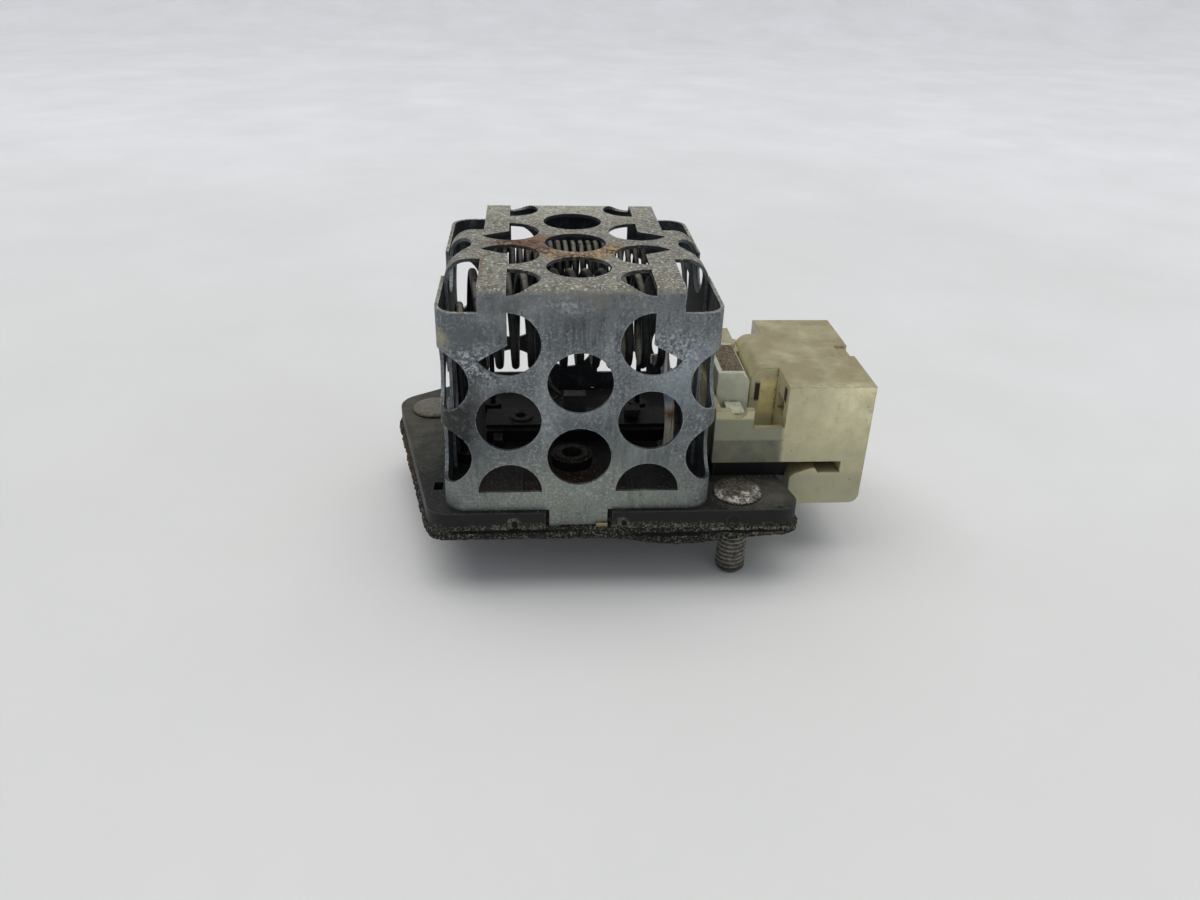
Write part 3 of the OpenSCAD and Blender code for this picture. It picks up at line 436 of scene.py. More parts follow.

# Black glass filled moulding, satin when new: under grey-brown dust on its open sides, and
# painted near black inside the cage as shade, but for rust crumbs below the coils.
# Dust and fibre grain of some 0.05 mm are drawn at 0.4 to 0.5 mm, so that they show.
OUT_IN_OPEN = (Spot((-36.0, 12.0, PLATE), (13.0, 26.0, 3.0), 0.3),
               Spot((36.0, -16.0, PLATE), (12.0, 12.0, 3.0), 0.3))
BELOW_COILS = (Spot((0.0, -14.0, 6.0), (13.0, 11.0, 5.0), 0.5, 0.7),)
DUSTY_MOULDING = Finish("black_glass_filled_moulding", "#0e0f10", 0.42, ior=1.56, specular=0.22, layers=(
    Layer("#181815", 4.0, cut=0.45, soft=0.3, amount=0.8, roughness=0.6),
    Layer("#57564b", 5.0, cut=0.4, soft=0.35, amount=0.85, roughness=0.95, facing=Facing.UP,
          spots=OUT_IN_OPEN, shift=1.0),
    Layer("#35332b", 3.0, cut=0.4, soft=0.3, amount=0.8, roughness=0.9, facing=Facing.UP,
          spots=(Spot((-16.0, -16.0, PLATE), (8.0, 6.0, 2.0), 0.4, 0.7),), shift=1.5),
    # Painted shade: the deck inside the cage is near black.
    Layer("#050506", pattern=Pattern.EVEN, amount=0.8, roughness=0.5,
          spots=(Spot((-0.4, 14.0, 8.0), (25.0, 25.0, 7.0), 0.1, 0.3, boxy=True),
                 Spot((11.0, -13.0, PLATE), (13.0, 11.0, 2.0), 0.2, 0.4, boxy=True))),
    Layer("#22140f", 1.3, cut=0.46, amount=0.9, roughness=0.95, raise_mm=0.05, facing=Facing.UP,
          spots=BELOW_COILS, shift=2.0),
    Layer("#4e2c1c", 0.8, cut=0.58, soft=0.1, amount=0.8, roughness=0.95, raise_mm=0.08,
          facing=Facing.UP, spots=BELOW_COILS, shift=2.5),
    Layer("#8a8778", 0.4, cut=0.63, soft=0.07, amount=0.6, roughness=0.95, facing=Facing.UP,
          patch_mm=9.0, shift=3.0),
    Layer("#7a6248", 1.4, pattern=Pattern.SPECKS, cut=0.12, soft=0.08, amount=0.7, roughness=0.95,
          facing=Facing.UP, spots=OUT_IN_OPEN, shift=4.0),
    Layer("#bdbab0", 0.45, cut=0.6, soft=0.08, amount=0.75, roughness=0.95, facing=Facing.UP,
          spots=(Spot((37.0, -11.5, PLATE), (6.0, 3.5, 2.0), 0.5),), shift=4.5),
    Layer("#83816f", 0.4, cut=0.53, soft=0.1, amount=0.8, roughness=0.95,
          spots=(Spot((2.0, -26.0, 2.0), (44.0, 4.0, 1.5), 0.6, 0.6),), shift=4.8),
    # Pale edges: partly wear, partly painted highlight.
    Layer("#5a5b57", 1.0, cut=0.42, soft=0.3, amount=0.6, edge_mm=0.35, shift=5.0),
    Layer("#77756a", 0.5, cut=0.46, amount=0.85, roughness=0.95,
          spots=(Spot((-12.9, -25.4, 3.4), (1.4, 1.5, 1.4), 0.4, 0.4),
                 Spot((8.2, -25.3, 3.3), (1.3, 1.5, 1.3), 0.4, 0.4)), shift=5.5),
    # Painted shade: the two small arches in the front edge are near black inside.
    Layer("#040404", pattern=Pattern.EVEN, amount=0.95,
          spots=(Spot((-12.7, -25.4, 2.9), (0.75, 1.5, 0.95), 0.2, 0.3),
                 Spot((8.4, -25.3, 2.9), (0.65, 1.5, 0.8), 0.2, 0.3))),
    Layer(None, 0.5, raise_mm=0.02, shift=6.0),
))

# Black rubber foam, cut from sheet: torn open cells full of dust, ochre where damp has dried.
# Its cells are 0.4 to 0.7 mm wide, as in the real sheet.
CELLULAR_FOAM = Finish("dusty_rubber_foam", "#131311", 0.97, ior=1.52, specular=0.3, layers=(
    Layer("#25251f", 1.1, amount=0.8),
    Layer("#7a7768", 0.4, cut=0.57, soft=0.08, amount=0.8, shift=1.0),
    Layer("#a5a294", 0.45, cut=0.6, soft=0.06, amount=0.85, patch_mm=5.0, shift=1.5),
    Layer("#050505", 0.7, pattern=Pattern.SPECKS, cut=0.3, soft=0.12, amount=0.85, raise_mm=-0.15,
          shift=2.0),
    Layer("#57452c", 1.6, cut=0.42, amount=0.8, spots=(Spot((-37.5, 2.0, 1.0), (4.0, 22.0, 3.0)),),
          shift=3.0),
    Layer("#8d8a76", 0.5, cut=0.54, soft=0.08, amount=0.8,
          spots=(Spot((33.0, RIM, 1.5), (10.0, 3.0, 1.6)),), shift=3.5),
    # Painted shade: near black along the cracks where the foam has parted.
    Layer("#020202", pattern=Pattern.EVEN, amount=0.95, roughness=1.0, raise_mm=-0.3,
          spots=(Spot((18.0, RIM, 0.8), (11.5, 3.0, 0.55), 0.25, 0.3),
                 Spot((32.0, RIM, 1.15), (10.0, 3.0, 0.4), 0.25, 0.3),
                 Spot((-14.0, RIM, 1.75), (16.0, 3.0, 0.3), 0.25, 0.3))),
    Layer(None, 0.4, raise_mm=0.12, shift=4.0),
))

# Resistance wire, drawn and wound, oxidised by its own heat: near black, paler on top with dust
# and painted light from above.
# The drawing marks, some 0.02 mm wide, are drawn at 0.25 mm.
OXIDISED_WIRE = Finish("oxidised_resistance_wire", "#1d1f22", 0.42, metallic=0.6, layers=(
    Layer("#33322e", 2.2, cut=0.52, soft=0.25, amount=0.6, roughness=0.6, metallic=0.4),
    Layer("#101113", 1.0, cut=0.52, amount=0.6, shift=1.0),
    # Paler on top: dust, and painted light from above.
    Layer("#8b8676", 1.6, cut=0.42, amount=0.7, roughness=0.9, metallic=0.0, facing=Facing.UP, shift=2.0),
    Layer(None, 0.25, raise_mm=0.01, shift=3.0),
))

# Nickel alloy strip, rolled and left bright: heat has tinted it blue above and gold below. Its
# near white base with little metal in it is a painted reflection of the pale studio.
# The rolling marks run up the strip and are drawn 0.5 mm wide, coarser than real.
HEAT_TINT_AND_PAINTED_REFLECTION = Finish("heat_tinted_strip_and_painted_reflection", "#fbf1d8", 0.28, metallic=0.1, layers=(
    Layer("#8a4f26", 2.0, cut=0.3, soft=0.4, amount=0.9,
          spots=(Spot((19.0, -3.3, 15.4), (4.0, 3.0, 2.2), 0.1, 0.8),)),
    Layer("#4f79a8", 2.0, cut=0.3, soft=0.4, amount=0.9,
          spots=(Spot((18.4, -3.3, 19.6), (4.0, 3.0, 2.8), 0.1, 0.8),), shift=1.0),
    Layer("#a9bccb", 2.0, cut=0.3, soft=0.4, amount=0.8,
          spots=(Spot((18.0, -3.3, 27.0), (4.0, 3.0, 4.6), 0.1, 0.8),), shift=1.5),
    Layer("#c79a5c", 1.4, amount=0.8, spots=(Spot((18.0, -3.3, 31.0), (4.0, 3.0, 3.0), 0.1, 0.8),),
          shift=2.0),
    Layer("#33414f", 0.5, stretch=(1.0, 1.0, 0.04), cut=0.52, soft=0.08, amount=0.75,
          spots=(Spot((18.0, -3.3, 26.0), (4.0, 3.0, 10.0), 0.1, 0.6),), shift=2.3),
    Layer("#5f4526", 0.5, stretch=(1.0, 1.0, 0.04), cut=0.53, soft=0.08, amount=0.85, shift=2.5),
    Layer("#2e2a26", 0.7, cut=0.64, soft=0.1, amount=0.4, roughness=0.7, metallic=0.2, shift=3.0),
))

# Brass tube, rolled over: black-brown with grey dirt in the roll.
TARNISHED_BRASS = Finish("tarnished_brass", "#2c2924", 0.5, metallic=0.7, layers=(
    Layer("#16140f", 0.8, cut=0.48, soft=0.25, amount=0.8, roughness=0.8, metallic=0.2),
    Layer("#5f5a4c", 0.4, cut=0.58, soft=0.1, amount=0.6, roughness=0.9, metallic=0.0, shift=1.0),
))

# Tin plated brass, stamped: a grey sheen that goes yellow where the tin has gone.
TINNED_BRASS = Finish("tinned_brass", "#a29f94", 0.36, metallic=0.9, layers=(
    Layer("#9a8452", 1.6, cut=0.56, soft=0.15, amount=0.7),
    Layer("#5c5a52", 0.7, cut=0.55, amount=0.6, roughness=0.65, shift=1.0),
))

# Phenolic moulding of a small thermal cut-out: plain satin black with a little dust.
# The mould's grain is drawn at 0.3 mm, coarser than real.
CUTOUT_CASE = Finish("black_phenolic_case", "#121212", 0.42, ior=1.6, layers=(
    Layer("#2c2b27", 1.2, cut=0.52, soft=0.25, amount=0.7, roughness=0.85),
    Layer(None, 0.3, raise_mm=0.01, shift=1.0),
))

# Tinned copper lead, drawn: dull silver with brown patches.
DULL_LEAD = Finish("dull_tinned_lead", "#5d5850", 0.5, metallic=0.8, layers=(
    Layer("#38322b", 0.9, amount=0.7, roughness=0.7),
))

# Carbon steel stud, cold headed and zinc plated: brown where the plate is gone, with white
# crust left round the rim of the front one, and a pale olive film on the rear one.
# The rust's grain is 0.4 to 1 mm, as it flakes on such a head.
CORRODED_STUD = Finish("corroded_stud_steel", "#413f39", 0.7, metallic=0.35, layers=(
    Layer("#6d6b62", 1.0, cut=0.52, amount=0.6, metallic=0.15),
    Layer("#24221c", 0.8, cut=0.52, soft=0.14, amount=0.7, shift=1.0),
    Layer("#b3b0a3", 1.2, cut=0.42, amount=0.85, roughness=0.85, metallic=0.1,
          spots=(Spot((31.5, -19.2, -6.0), (5.0, 5.0, 7.0), 0.1, 0.3),), shift=1.2),
    Layer("#75736a", 2.0, cut=0.4, amount=0.9, roughness=0.8, metallic=0.1, facing=Facing.UP,
          spots=(Spot((-31.5, 19.2, 7.0), (6.5, 6.5, 2.0), 0.2, 0.4),), shift=1.5),
    Layer("#7d735c", 0.6, cut=0.56, soft=0.08, amount=0.8, roughness=0.9, metallic=0.0, raise_mm=0.04,
          facing=Facing.UP, shift=2.5),
    Layer("#cfccc0", 0.6, soft=0.1, amount=0.9, roughness=0.9, metallic=0.0, raise_mm=0.08,
          spots=(Spot((30.6, -23.4, 6.6), (4.2, 1.5, 1.6), 0.7),
                 Spot((33.0, -21.4, 6.9), (1.7, 1.3, 1.4), 0.6),
                 Spot((35.3, -20.4, 6.5), (1.5, 2.6, 1.6), 0.7),
                 Spot((27.6, -20.8, 6.5), (1.3, 2.0, 1.6), 0.7)), shift=2.0),
    # Painted shade: near black in the thread's roots and other narrow corners.
    Layer("#12110e", 0.6, cut=0.3, soft=0.3, amount=0.9, roughness=0.95, metallic=0.0, crevice_mm=0.7,
          shift=2.8),
    # Pale crests of the front stud's thread: dust, and painted highlight.
    Layer("#c9c6ba", 0.8, cut=0.46, amount=0.7, roughness=0.8, metallic=0.1, edge_mm=0.12,
          spots=(Spot((31.5, -19.2, -6.0), (5.0, 5.0, 7.5), 0.1, 0.3),), shift=2.9),
    Layer("#5a4a36", 1.1, cut=0.56, soft=0.12, amount=0.5, roughness=0.9, metallic=0.0, shift=3.0),
    Layer(None, 0.4, raise_mm=0.03, shift=4.0),
))

# Unfilled nylon, injection moulded in its own colour, browner with dirt on top. It lets a little
# light in: the pale yellow where it is thick is painted light, the grey-green where thin before
# the black plate is painted shade, and the low wall is darker still with painted shadow of the cage.
# The mould's grain, some 0.1 mm, is drawn at 0.5 mm.
# Painted shade: the thin wall before the black plate is grey-green, and its lower part, in the cage's shadow,
# darker still.
THIN_WALL = (Spot((30.6, -15.5, 13.9), (10.2, 3.0, 6.6), 0.02, 0.08, boxy=True),)
THIN_LOW = (Spot((30.6, -15.5, 11.6), (10.2, 3.0, 4.2), 0.03, 0.12, boxy=True),)
# Painted shade: the thin hook arm over the plate's edge is grey-green.
HOOK_ARM = (Spot((50.0, 2.0, 2.4), (16.0, 24.0, 6.4), 0.04, boxy=True),)
LIT_CORNER = (Spot((55.0, -15.5, 25.0), (13.0, 4.0, 13.0), 0.15, 0.9),)
# Painted shade: the two slots beside the latch tongue are near black.
SLOTS = (Spot((36.6, -6.2, 21.8), (0.6, 0.9, 2.3), 0.12, 0.25, boxy=True),
         Spot((40.6, -13.2, 24.4), (0.6, 1.1, 1.7), 0.15, 0.25, boxy=True))
AGED_NYLON = Finish("aged_natural_nylon", "#cdc79e", 0.38, ior=1.53, subsurface=0.3,
                    subsurface_mm=2.0, layers=(
    Layer("#a9a88c", 14.0, soft=0.35, amount=0.6),
    Layer("#f6efc4", 8.0, cut=0.34, soft=0.3, amount=0.85, spots=LIT_CORNER, shift=0.5),
    Layer("#838772", pattern=Pattern.EVEN, amount=0.85, spots=HOOK_ARM),
    Layer("#7b7f6c", pattern=Pattern.EVEN, amount=0.9, spots=THIN_WALL),
    Layer("#54584c", pattern=Pattern.EVEN, amount=0.9, spots=THIN_LOW),
    Layer("#f8e6a4", 3.0, cut=0.3, soft=0.3, amount=0.95,
          spots=(Spot((38.8, -6.2, 20.5), (2.2, 1.0, 5.0), 0.05, 0.4, boxy=True),), shift=0.8),
    Layer("#7d7350", 9.0, cut=0.4, soft=0.35, amount=0.88, roughness=0.55, facing=Facing.UP, shift=1.0),
    Layer("#8a8160", 2.6, cut=0.46, soft=0.3, amount=0.6, facing=Facing.UP, shift=1.5),
    Layer("#a2966c", 3.0, soft=0.3, amount=0.3, shift=2.0),
    Layer("#6f6547", 1.6, cut=0.64, soft=0.1, amount=0.3, roughness=0.7, shift=3.0),
    Layer("#3c311d", 2.6, pattern=Pattern.SPECKS, cut=0.07, soft=0.05, amount=0.8, roughness=0.8,
          patch_mm=9.0, shift=4.0),
    Layer("#5d4a2c", 0.9, amount=0.75, roughness=0.85, crevice_mm=0.9, shift=5.0),
    Layer("#54482e", 1.5, cut=0.4, amount=0.8, edge_mm=0.35, shift=6.0),
    Layer("#120b05", pattern=Pattern.EVEN, amount=0.95, roughness=0.9, spots=SLOTS),
    Layer(None, 6.0, raise_mm=0.05, shift=7.0),
    Layer(None, 0.5, raise_mm=0.006, shift=8.0),
))

# The same nylon in a cleaner, greener moulding.
# Its grain is drawn at 0.6 mm, coarser than real.
PALE_NYLON = Finish("pale_nylon", "#cdcfb6", 0.36, ior=1.53, subsurface=0.35, subsurface_mm=2.0, layers=(
    Layer("#a3a68e", 4.0, cut=0.48, soft=0.3, amount=0.6),
    Layer("#7d7658", 1.4, cut=0.56, soft=0.15, amount=0.5, roughness=0.7, facing=Facing.UP, shift=1.0),
    Layer("#5b4a2b", 0.9, cut=0.46, amount=0.6, roughness=0.85, crevice_mm=0.8, shift=2.0),
    Layer(None, 0.6, raise_mm=0.006, shift=3.0),
))

# Crumbly brown filling, pressed in: matt, porous, with dark grains.
CRUMBLY_FILL = Finish("crumbly_brown_fill", "#73674f", 0.95, layers=(
    Layer("#948972", 0.5, cut=0.54, soft=0.12, amount=0.8),
    Layer("#3c3223", 0.35, cut=0.56, soft=0.1, amount=0.85, raise_mm=-0.08, shift=1.0),
    Layer(None, 0.3, raise_mm=0.1, shift=2.0),
))

# Flakes of iron rust that have fallen from the wire and the cage.
RUST_CRUMBS = Finish("rust_crumbs", "#3f241a", 0.95, layers=(
    Layer("#170f0b", 1.3, cut=0.46, amount=0.85),
    Layer("#b9a283", 0.9, cut=0.61, soft=0.08, amount=0.8, shift=1.0),
))

# Matt white painted board of the studio.
# Its paint is uneven over 60 mm, as a rolled coat is. Within some 600 mm of the part it is
# painted a darker, cloudy grey as painted shade, so that the far backdrop is brighter.
STUDIO_BOARD = Finish("studio_board", "#eeedee", 0.9, layers=(
    # Painted shade: darker board near the part.
    Layer("#dadad6", 400.0, cut=0.3, soft=0.4,
          spots=(Spot((0.0, 0.0, -12.0), (600.0, 500.0, 300.0), 0.1, 0.8),)),
    Layer("#d2d3ce", 60.0, soft=0.4, amount=0.4, shift=1.0),
))


# Meshes


def put_in_scene(name: str, data: ID) -> Object:
    """Makes an object of a mesh, a lamp or a camera and puts it in the scene.

    Args:
        name: the object's name.
        data: the mesh, lamp or camera.

    Returns:
        The new object, at the origin.
    """
    made = bpy.data.objects.new(name, data)
    bpy.context.scene.collection.objects.link(made)
    return made


def mesh_object(name: str, points: list[Point], faces: list[tuple[int, ...]], finish: Finish) -> Object:
    """Makes a smooth shaded object of points in millimetres, with its finish.

    Args:
        name: the piece's name.
        points: its corners, in the part's frame.
        faces: the corner numbers of each face.
        finish: what it is made of.

    Returns:
        The new object, at the origin.
    """
    mesh = bpy.data.meshes.new(name)
    mesh.from_pydata([tuple(c * MM for c in p) for p in points], [], faces)
    mesh.materials.append(finish.material())
    mesh.shade_smooth()
    return put_in_scene(name, mesh)


def settle(piece: Object, finish: Finish) -> None:
    """Turns a piece's modifiers into its mesh, takes them off and gives the mesh its finish.

    Args:
        piece: the object.
        finish: what it is made of.
    """
    bpy.context.view_layer.update()
    now = bpy.context.evaluated_depsgraph_get()
    mesh = bpy.data.meshes.new_from_object(piece.evaluated_get(now), depsgraph=now)
    piece.modifiers.clear()
    piece.data = mesh
    mesh.name = piece.name
    mesh.materials.clear()
    mesh.materials.append(finish.material())


def copy_of_node(node: str, name: str, finish: Finish) -> Object:
    """Copies a CAD node's mesh into a new piece and joins its loose triangles.

    Args:
        node: the CAD node.
        name: the piece's name.
        finish: what it is made of.

    Returns:
        The new piece.
    """
    shape = bmesh.new()
    shape.from_mesh(frame["nodes"][node].data)
    bmesh.ops.remove_doubles(shape, verts=shape.verts, dist=MERGE)
    mesh = bpy.data.meshes.new(name)
    shape.to_mesh(mesh)
    shape.free()
    mesh.materials.clear()
    mesh.materials.append(finish.material())
    return put_in_scene(name, mesh)


def remesh(piece: Object, finish: Finish, voxel_mm: float) -> None:
    """Gives a piece an even skin of small faces.

    Args:
        piece: the object.
        finish: what it is made of.
        voxel_mm: the size of a face.
    """
    skin = piece.modifiers.new("even skin", "REMESH")
    skin.mode = "VOXEL"
    skin.voxel_size = voxel_mm * MM
    skin.use_smooth_shade = True
    settle(piece, finish)


def dress(node: str, finish: Finish) -> None:
    """Gives a CAD node its finish.

    Args:
        node: the CAD node.
        finish: what it is made of.
    """
    for slot in frame["nodes"][node].material_slots:
        slot.material = finish.material()
    log.info("%s keeps its CAD shape, in %s", node, finish.name)


def carry(piece: Object, slot: str, *nodes: str) -> None:
    """Puts a finished piece on the part's body, in place of the CAD nodes it stands for.

    Args:
        piece: the finished object.
        slot: the record's material slot; not used.
        *nodes: the CAD nodes that the piece stands for.
    """
    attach(piece, BODY)
    if nodes:
        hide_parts(*nodes)
    log.info("%s: %d faces, for %s", piece.name, len(piece.data.polygons), nodes or "no node")


class NodeForm:
    """A Geometry Nodes tree with named sizes, used on one or more pieces."""

    def __init__(self, name: str, sizes: dict[str, type]) -> None:
        """Makes the tree with an input for each size.

        Args:
            name: the tree's name.
            sizes: for each named input, float, int or Vector.
        """
        kinds = {float: "NodeSocketFloat", int: "NodeSocketInt", Vector: "NodeSocketVector"}
        self.tree = bpy.data.node_groups.new(name, "GeometryNodeTree")
        face = self.tree.interface
        face.new_socket("Geometry", in_out="OUTPUT", socket_type="NodeSocketGeometry")
        face.new_socket("Geometry", in_out="INPUT", socket_type="NodeSocketGeometry")
        self.ids = {n: face.new_socket(n, in_out="INPUT", socket_type=kinds[k]).identifier
                    for n, k in sizes.items()}
        self.size = add(self.tree, "NodeGroupInput").outputs

    def close(self, shape: Node, finish: Finish) -> None:
        """Ends the tree: instances become real and the finish is set.

        Args:
            shape: the node that gives the finished geometry.
            finish: what it is made of.
        """
        real = add(self.tree, "GeometryNodeRealizeInstances", {0: shape})
        done = add(self.tree, "GeometryNodeSetMaterial", {"Geometry": real, "Material": finish.material()})
        add(self.tree, "NodeGroupOutput", {0: done})

    def use(self, piece: Object, finish: Finish, **sizes: float | int | Vector) -> None:
        """Runs the tree on a piece and keeps the result as its plain mesh.

        Args:
            piece: the object that the tree starts from.
            finish: what it is made of.
            **sizes: a value for each named input, with underscores for spaces.
        """
        form = piece.modifiers.new(self.tree.name, "NODES")
        form.node_group = self.tree
        for name, value in sizes.items():
            form[self.ids[name.replace("_", " ")]] = value
        settle(piece, finish)


# Sub-assemblies


def on_deck(point: Point) -> Vector:
    """Moves a point from the deck's frame to the part's frame, in millimetres."""
    return Vector(point) + DECK


@dataclass
class WoundCoil:
    """A resistance coil with its two leads, wound by a tree along its rule.

    It winds along X round its middle, given in Y and Z. lean moves the back of each turn along,
    wander is how far a turn strays from its place, and sways how often the turns stray.
    """

    name: str
    node: str
    wire_d: float
    radius: float
    turns: int
    start: float
    pitch: float
    middle: tuple[float, float]
    lean: float
    lead_in: list[Triple]
    lead_out: list[Triple]
    steps: int = 32
    wander: float = 0.12
    sways: float = 0.9
    seed: int = 3
    wire_sides: int = 12
    join: float = 0.02

    def form(self) -> NodeForm:
        """Builds the tree that winds the wire from the end of one lead to the start of the other.

        The spiral stands upright while its turns are moved along, and is then laid along X.

        Returns:
            The tree, with its named sizes.
        """
        form = NodeForm(f"{self.name} winding", {
            "Turns": float, "Steps": int, "Start": Vector, "Length": float, "Radius": float, "Lean": float,
            "Wire radius": float, "Wander": float, "Seed": float})
        tree, size = form.tree, form.size
        spiral = add(tree, "GeometryNodeCurveSpiral", {
            "Resolution": size["Steps"], "Rotations": size["Turns"], "Height": size["Length"],
            "Start Radius": size["Radius"], "End Radius": size["Radius"], "Reverse": True})
        share = add(tree, "GeometryNodeSplineParameter").outputs["Factor"]
        turn = add(tree, "ShaderNodeMath", {0: share, 1: size["Turns"]}, operation="MULTIPLY")
        moment = add(tree, "ShaderNodeMath", {0: turn, 1: self.sways, 2: size["Seed"]},
                     operation="MULTIPLY_ADD")
        uneven = add(tree, "ShaderNodeTexNoise", {"Scale": 1.0, "Detail": 1.0, "W": moment},
                     noise_dimensions="1D")
        sway = add(tree, "ShaderNodeMapRange", {0: uneven, 1: 0.0, 2: 1.0, 3: -2.0, 4: 2.0})
        left = add(tree, "ShaderNodeMath", {0: 1.0, 1: share}, operation="SUBTRACT")
        held = add(tree, "ShaderNodeMath", {0: share, 1: left}, operation="MULTIPLY")
        drift = add(tree, "ShaderNodeMath", {0: sway, 1: held}, operation="MULTIPLY")
        drift = add(tree, "ShaderNodeMath", {0: drift, 1: size["Wander"]}, operation="MULTIPLY")
        at = add(tree, "ShaderNodeSeparateXYZ", {0: add(tree, "GeometryNodeInputPosition")})
        leaned = add(tree, "ShaderNodeMath", {0: at.outputs["Y"], 1: size["Lean"]}, operation="MULTIPLY")
        along = add(tree, "ShaderNodeMath", {0: drift, 1: leaned}, operation="SUBTRACT")
        moved = add(tree, "GeometryNodeSetPosition", {
            "Geometry": spiral, "Offset": add(tree, "ShaderNodeCombineXYZ", {"Z": along})})
        laid = add(tree, "GeometryNodeTransform", {
            "Geometry": moved, "Translation": size["Start"], "Rotation": (0.0, math.pi / 2, 0.0)})
        wound = add(tree, "GeometryNodeCurveToMesh", {"Curve": laid})
        whole = add(tree, "GeometryNodeJoinGeometry")
        for part in (size["Geometry"], wound.outputs[0]):
            tree.links.new(part, whole.inputs[0])
        joined = add(tree, "GeometryNodeMergeByDistance", {"Geometry": whole, "Distance": self.join * MM})
        path = add(tree, "GeometryNodeMeshToCurve", {"Mesh": joined})
        section = add(tree, "GeometryNodeCurvePrimitiveCircle", {"Resolution": self.wire_sides,
                                                                "Radius": size["Wire radius"]})
        tube = add(tree, "GeometryNodeCurveToMesh", {"Curve": path, "Profile Curve": section,
                                                    "Fill Caps": True})
        form.close(add(tree, "GeometryNodeSetShadeSmooth", {"Geometry": tube}), OXIDISED_WIRE)
        return form

    def build(self) -> None:
        """Makes the coil in place of its CAD node, from its two leads."""
        y, z = self.middle
        first = (self.start, y, z - self.radius)
        last = (self.start + self.turns * self.pitch, y, z - self.radius)
        points, edges = [], []
        for lead in ([*self.lead_in, first], [last, *self.lead_out]):
            edges += [(len(points) + i, len(points) + i + 1) for i in range(len(lead) - 1)]
            points += [on_deck(p) * MM for p in lead]
        mesh = bpy.data.meshes.new(self.name)
        mesh.from_pydata(points, edges, [])
        coil = put_in_scene(self.name, mesh)
        self.form().use(coil, OXIDISED_WIRE, Turns=float(self.turns), Steps=self.steps,
                        Start=on_deck((self.start, y, z)) * MM, Length=self.turns * self.pitch * MM,
                        Radius=self.radius * MM, Lean=self.lean, Wire_radius=self.wire_d / 2 * MM,
                        Wander=self.wander * MM, Seed=float(self.seed))
        carry(coil, "coil_wire", self.node)


@dataclass
class Coils:
    """The two coils, with the sizes of their CAD nodes, in the deck's frame."""

    front_wire: float = 1.55
    front_turns: int = 12
    front_start: float = -21.125
    front_pitch: float = 3.1021
    front_radius: float = 9.0
    front_middle: tuple[float, float] = (20.025, 31.175)
    front_lead: tuple[float, float] = (-22.825, 19.525)
    front_end: tuple[float, float] = (16.1, 20.675)
    front_lean: float = 0.06
    rear_wire: float = 1.15
    rear_turns: int = 20
    rear_start: float = -16.6
    rear_pitch: float = 1.6
    rear_radius: float = 6.4
    rear_middle: tuple[float, float] = (41.975, 33.075)
    foot: float = 1.2

    def lead_over(self, x0: float, x1: float, radius: float) -> list[Triple]:
        """Gives the half circle by which the front coil's lead bends over towards the front.

        Args:
            x0: where the bend starts along X.
            x1: where it ends.
            radius: the bend's radius.

        Returns:
            Its points, without the last one.
        """
        y, z = self.front_lead[1], self.front_middle[1]
        return [(x0 + (x1 - x0) * a / 180, y - radius + radius * math.cos(math.radians(a)),
                 z + radius * math.sin(math.radians(a))) for a in range(0, 180, 12)]

    def front(self) -> WoundCoil:
        """Describes the front coil, whose left lead rises beside it and comes over the top.

        Returns:
            The coil.
        """
        (y, z), (lead_x, lead_y), r = self.front_middle, self.front_lead, self.front_radius
        bend = (lead_y - y + r) / 2
        over_x = self.front_start - self.front_pitch / 4 + self.front_lean * r
        rise = [(lead_x, lead_y, h) for h in (self.foot, z / 2, z - 3, z - 1)]
        down = []
        for a in range(-90, 0, 10):
            s, c = math.sin(math.radians(a)), math.cos(math.radians(a))
            x = self.front_start + self.front_pitch * a / 360 - self.front_lean * r * s
            down.append((x, y + r * s, z - r * c))
        return WoundCoil("front_resistance_coil", "front_coil", self.front_wire, r, self.front_turns,
                         self.front_start, self.front_pitch, self.front_middle, self.front_lean,
                         rise + self.lead_over(lead_x, over_x, bend) + down, [(*self.front_end, z - r)])

    def rear(self) -> WoundCoil:
        """Describes the rear coil, of finer wire, with both leads straight down.

        Returns:
            The coil.
        """
        (y, z), r = self.rear_middle, self.rear_radius
        low, left = z - r, self.rear_start - 1
        right = self.rear_start + self.rear_turns * self.rear_pitch
        rise = [(left, y, self.foot), (left, y, low / 2), (left + 0.05, y, low - 2.2),
                (left + 0.4, y, low - 0.5)]
        fall = [(right + 0.5, y + 0.3, low - 0.4), (right + 0.05, y + 0.1, low - 2.2), (right, y, low / 2),
                (right, y, self.foot)]
        return WoundCoil("rear_resistance_coil", "rear_coil", self.rear_wire, r, self.rear_turns,
                         self.rear_start, self.rear_pitch, self.rear_middle, 0.0, rise, fall,
                         steps=28, wander=0.2, seed=8)

    def build(self) -> None:
        """Winds both coils."""
        self.front().build()
        self.rear().build()


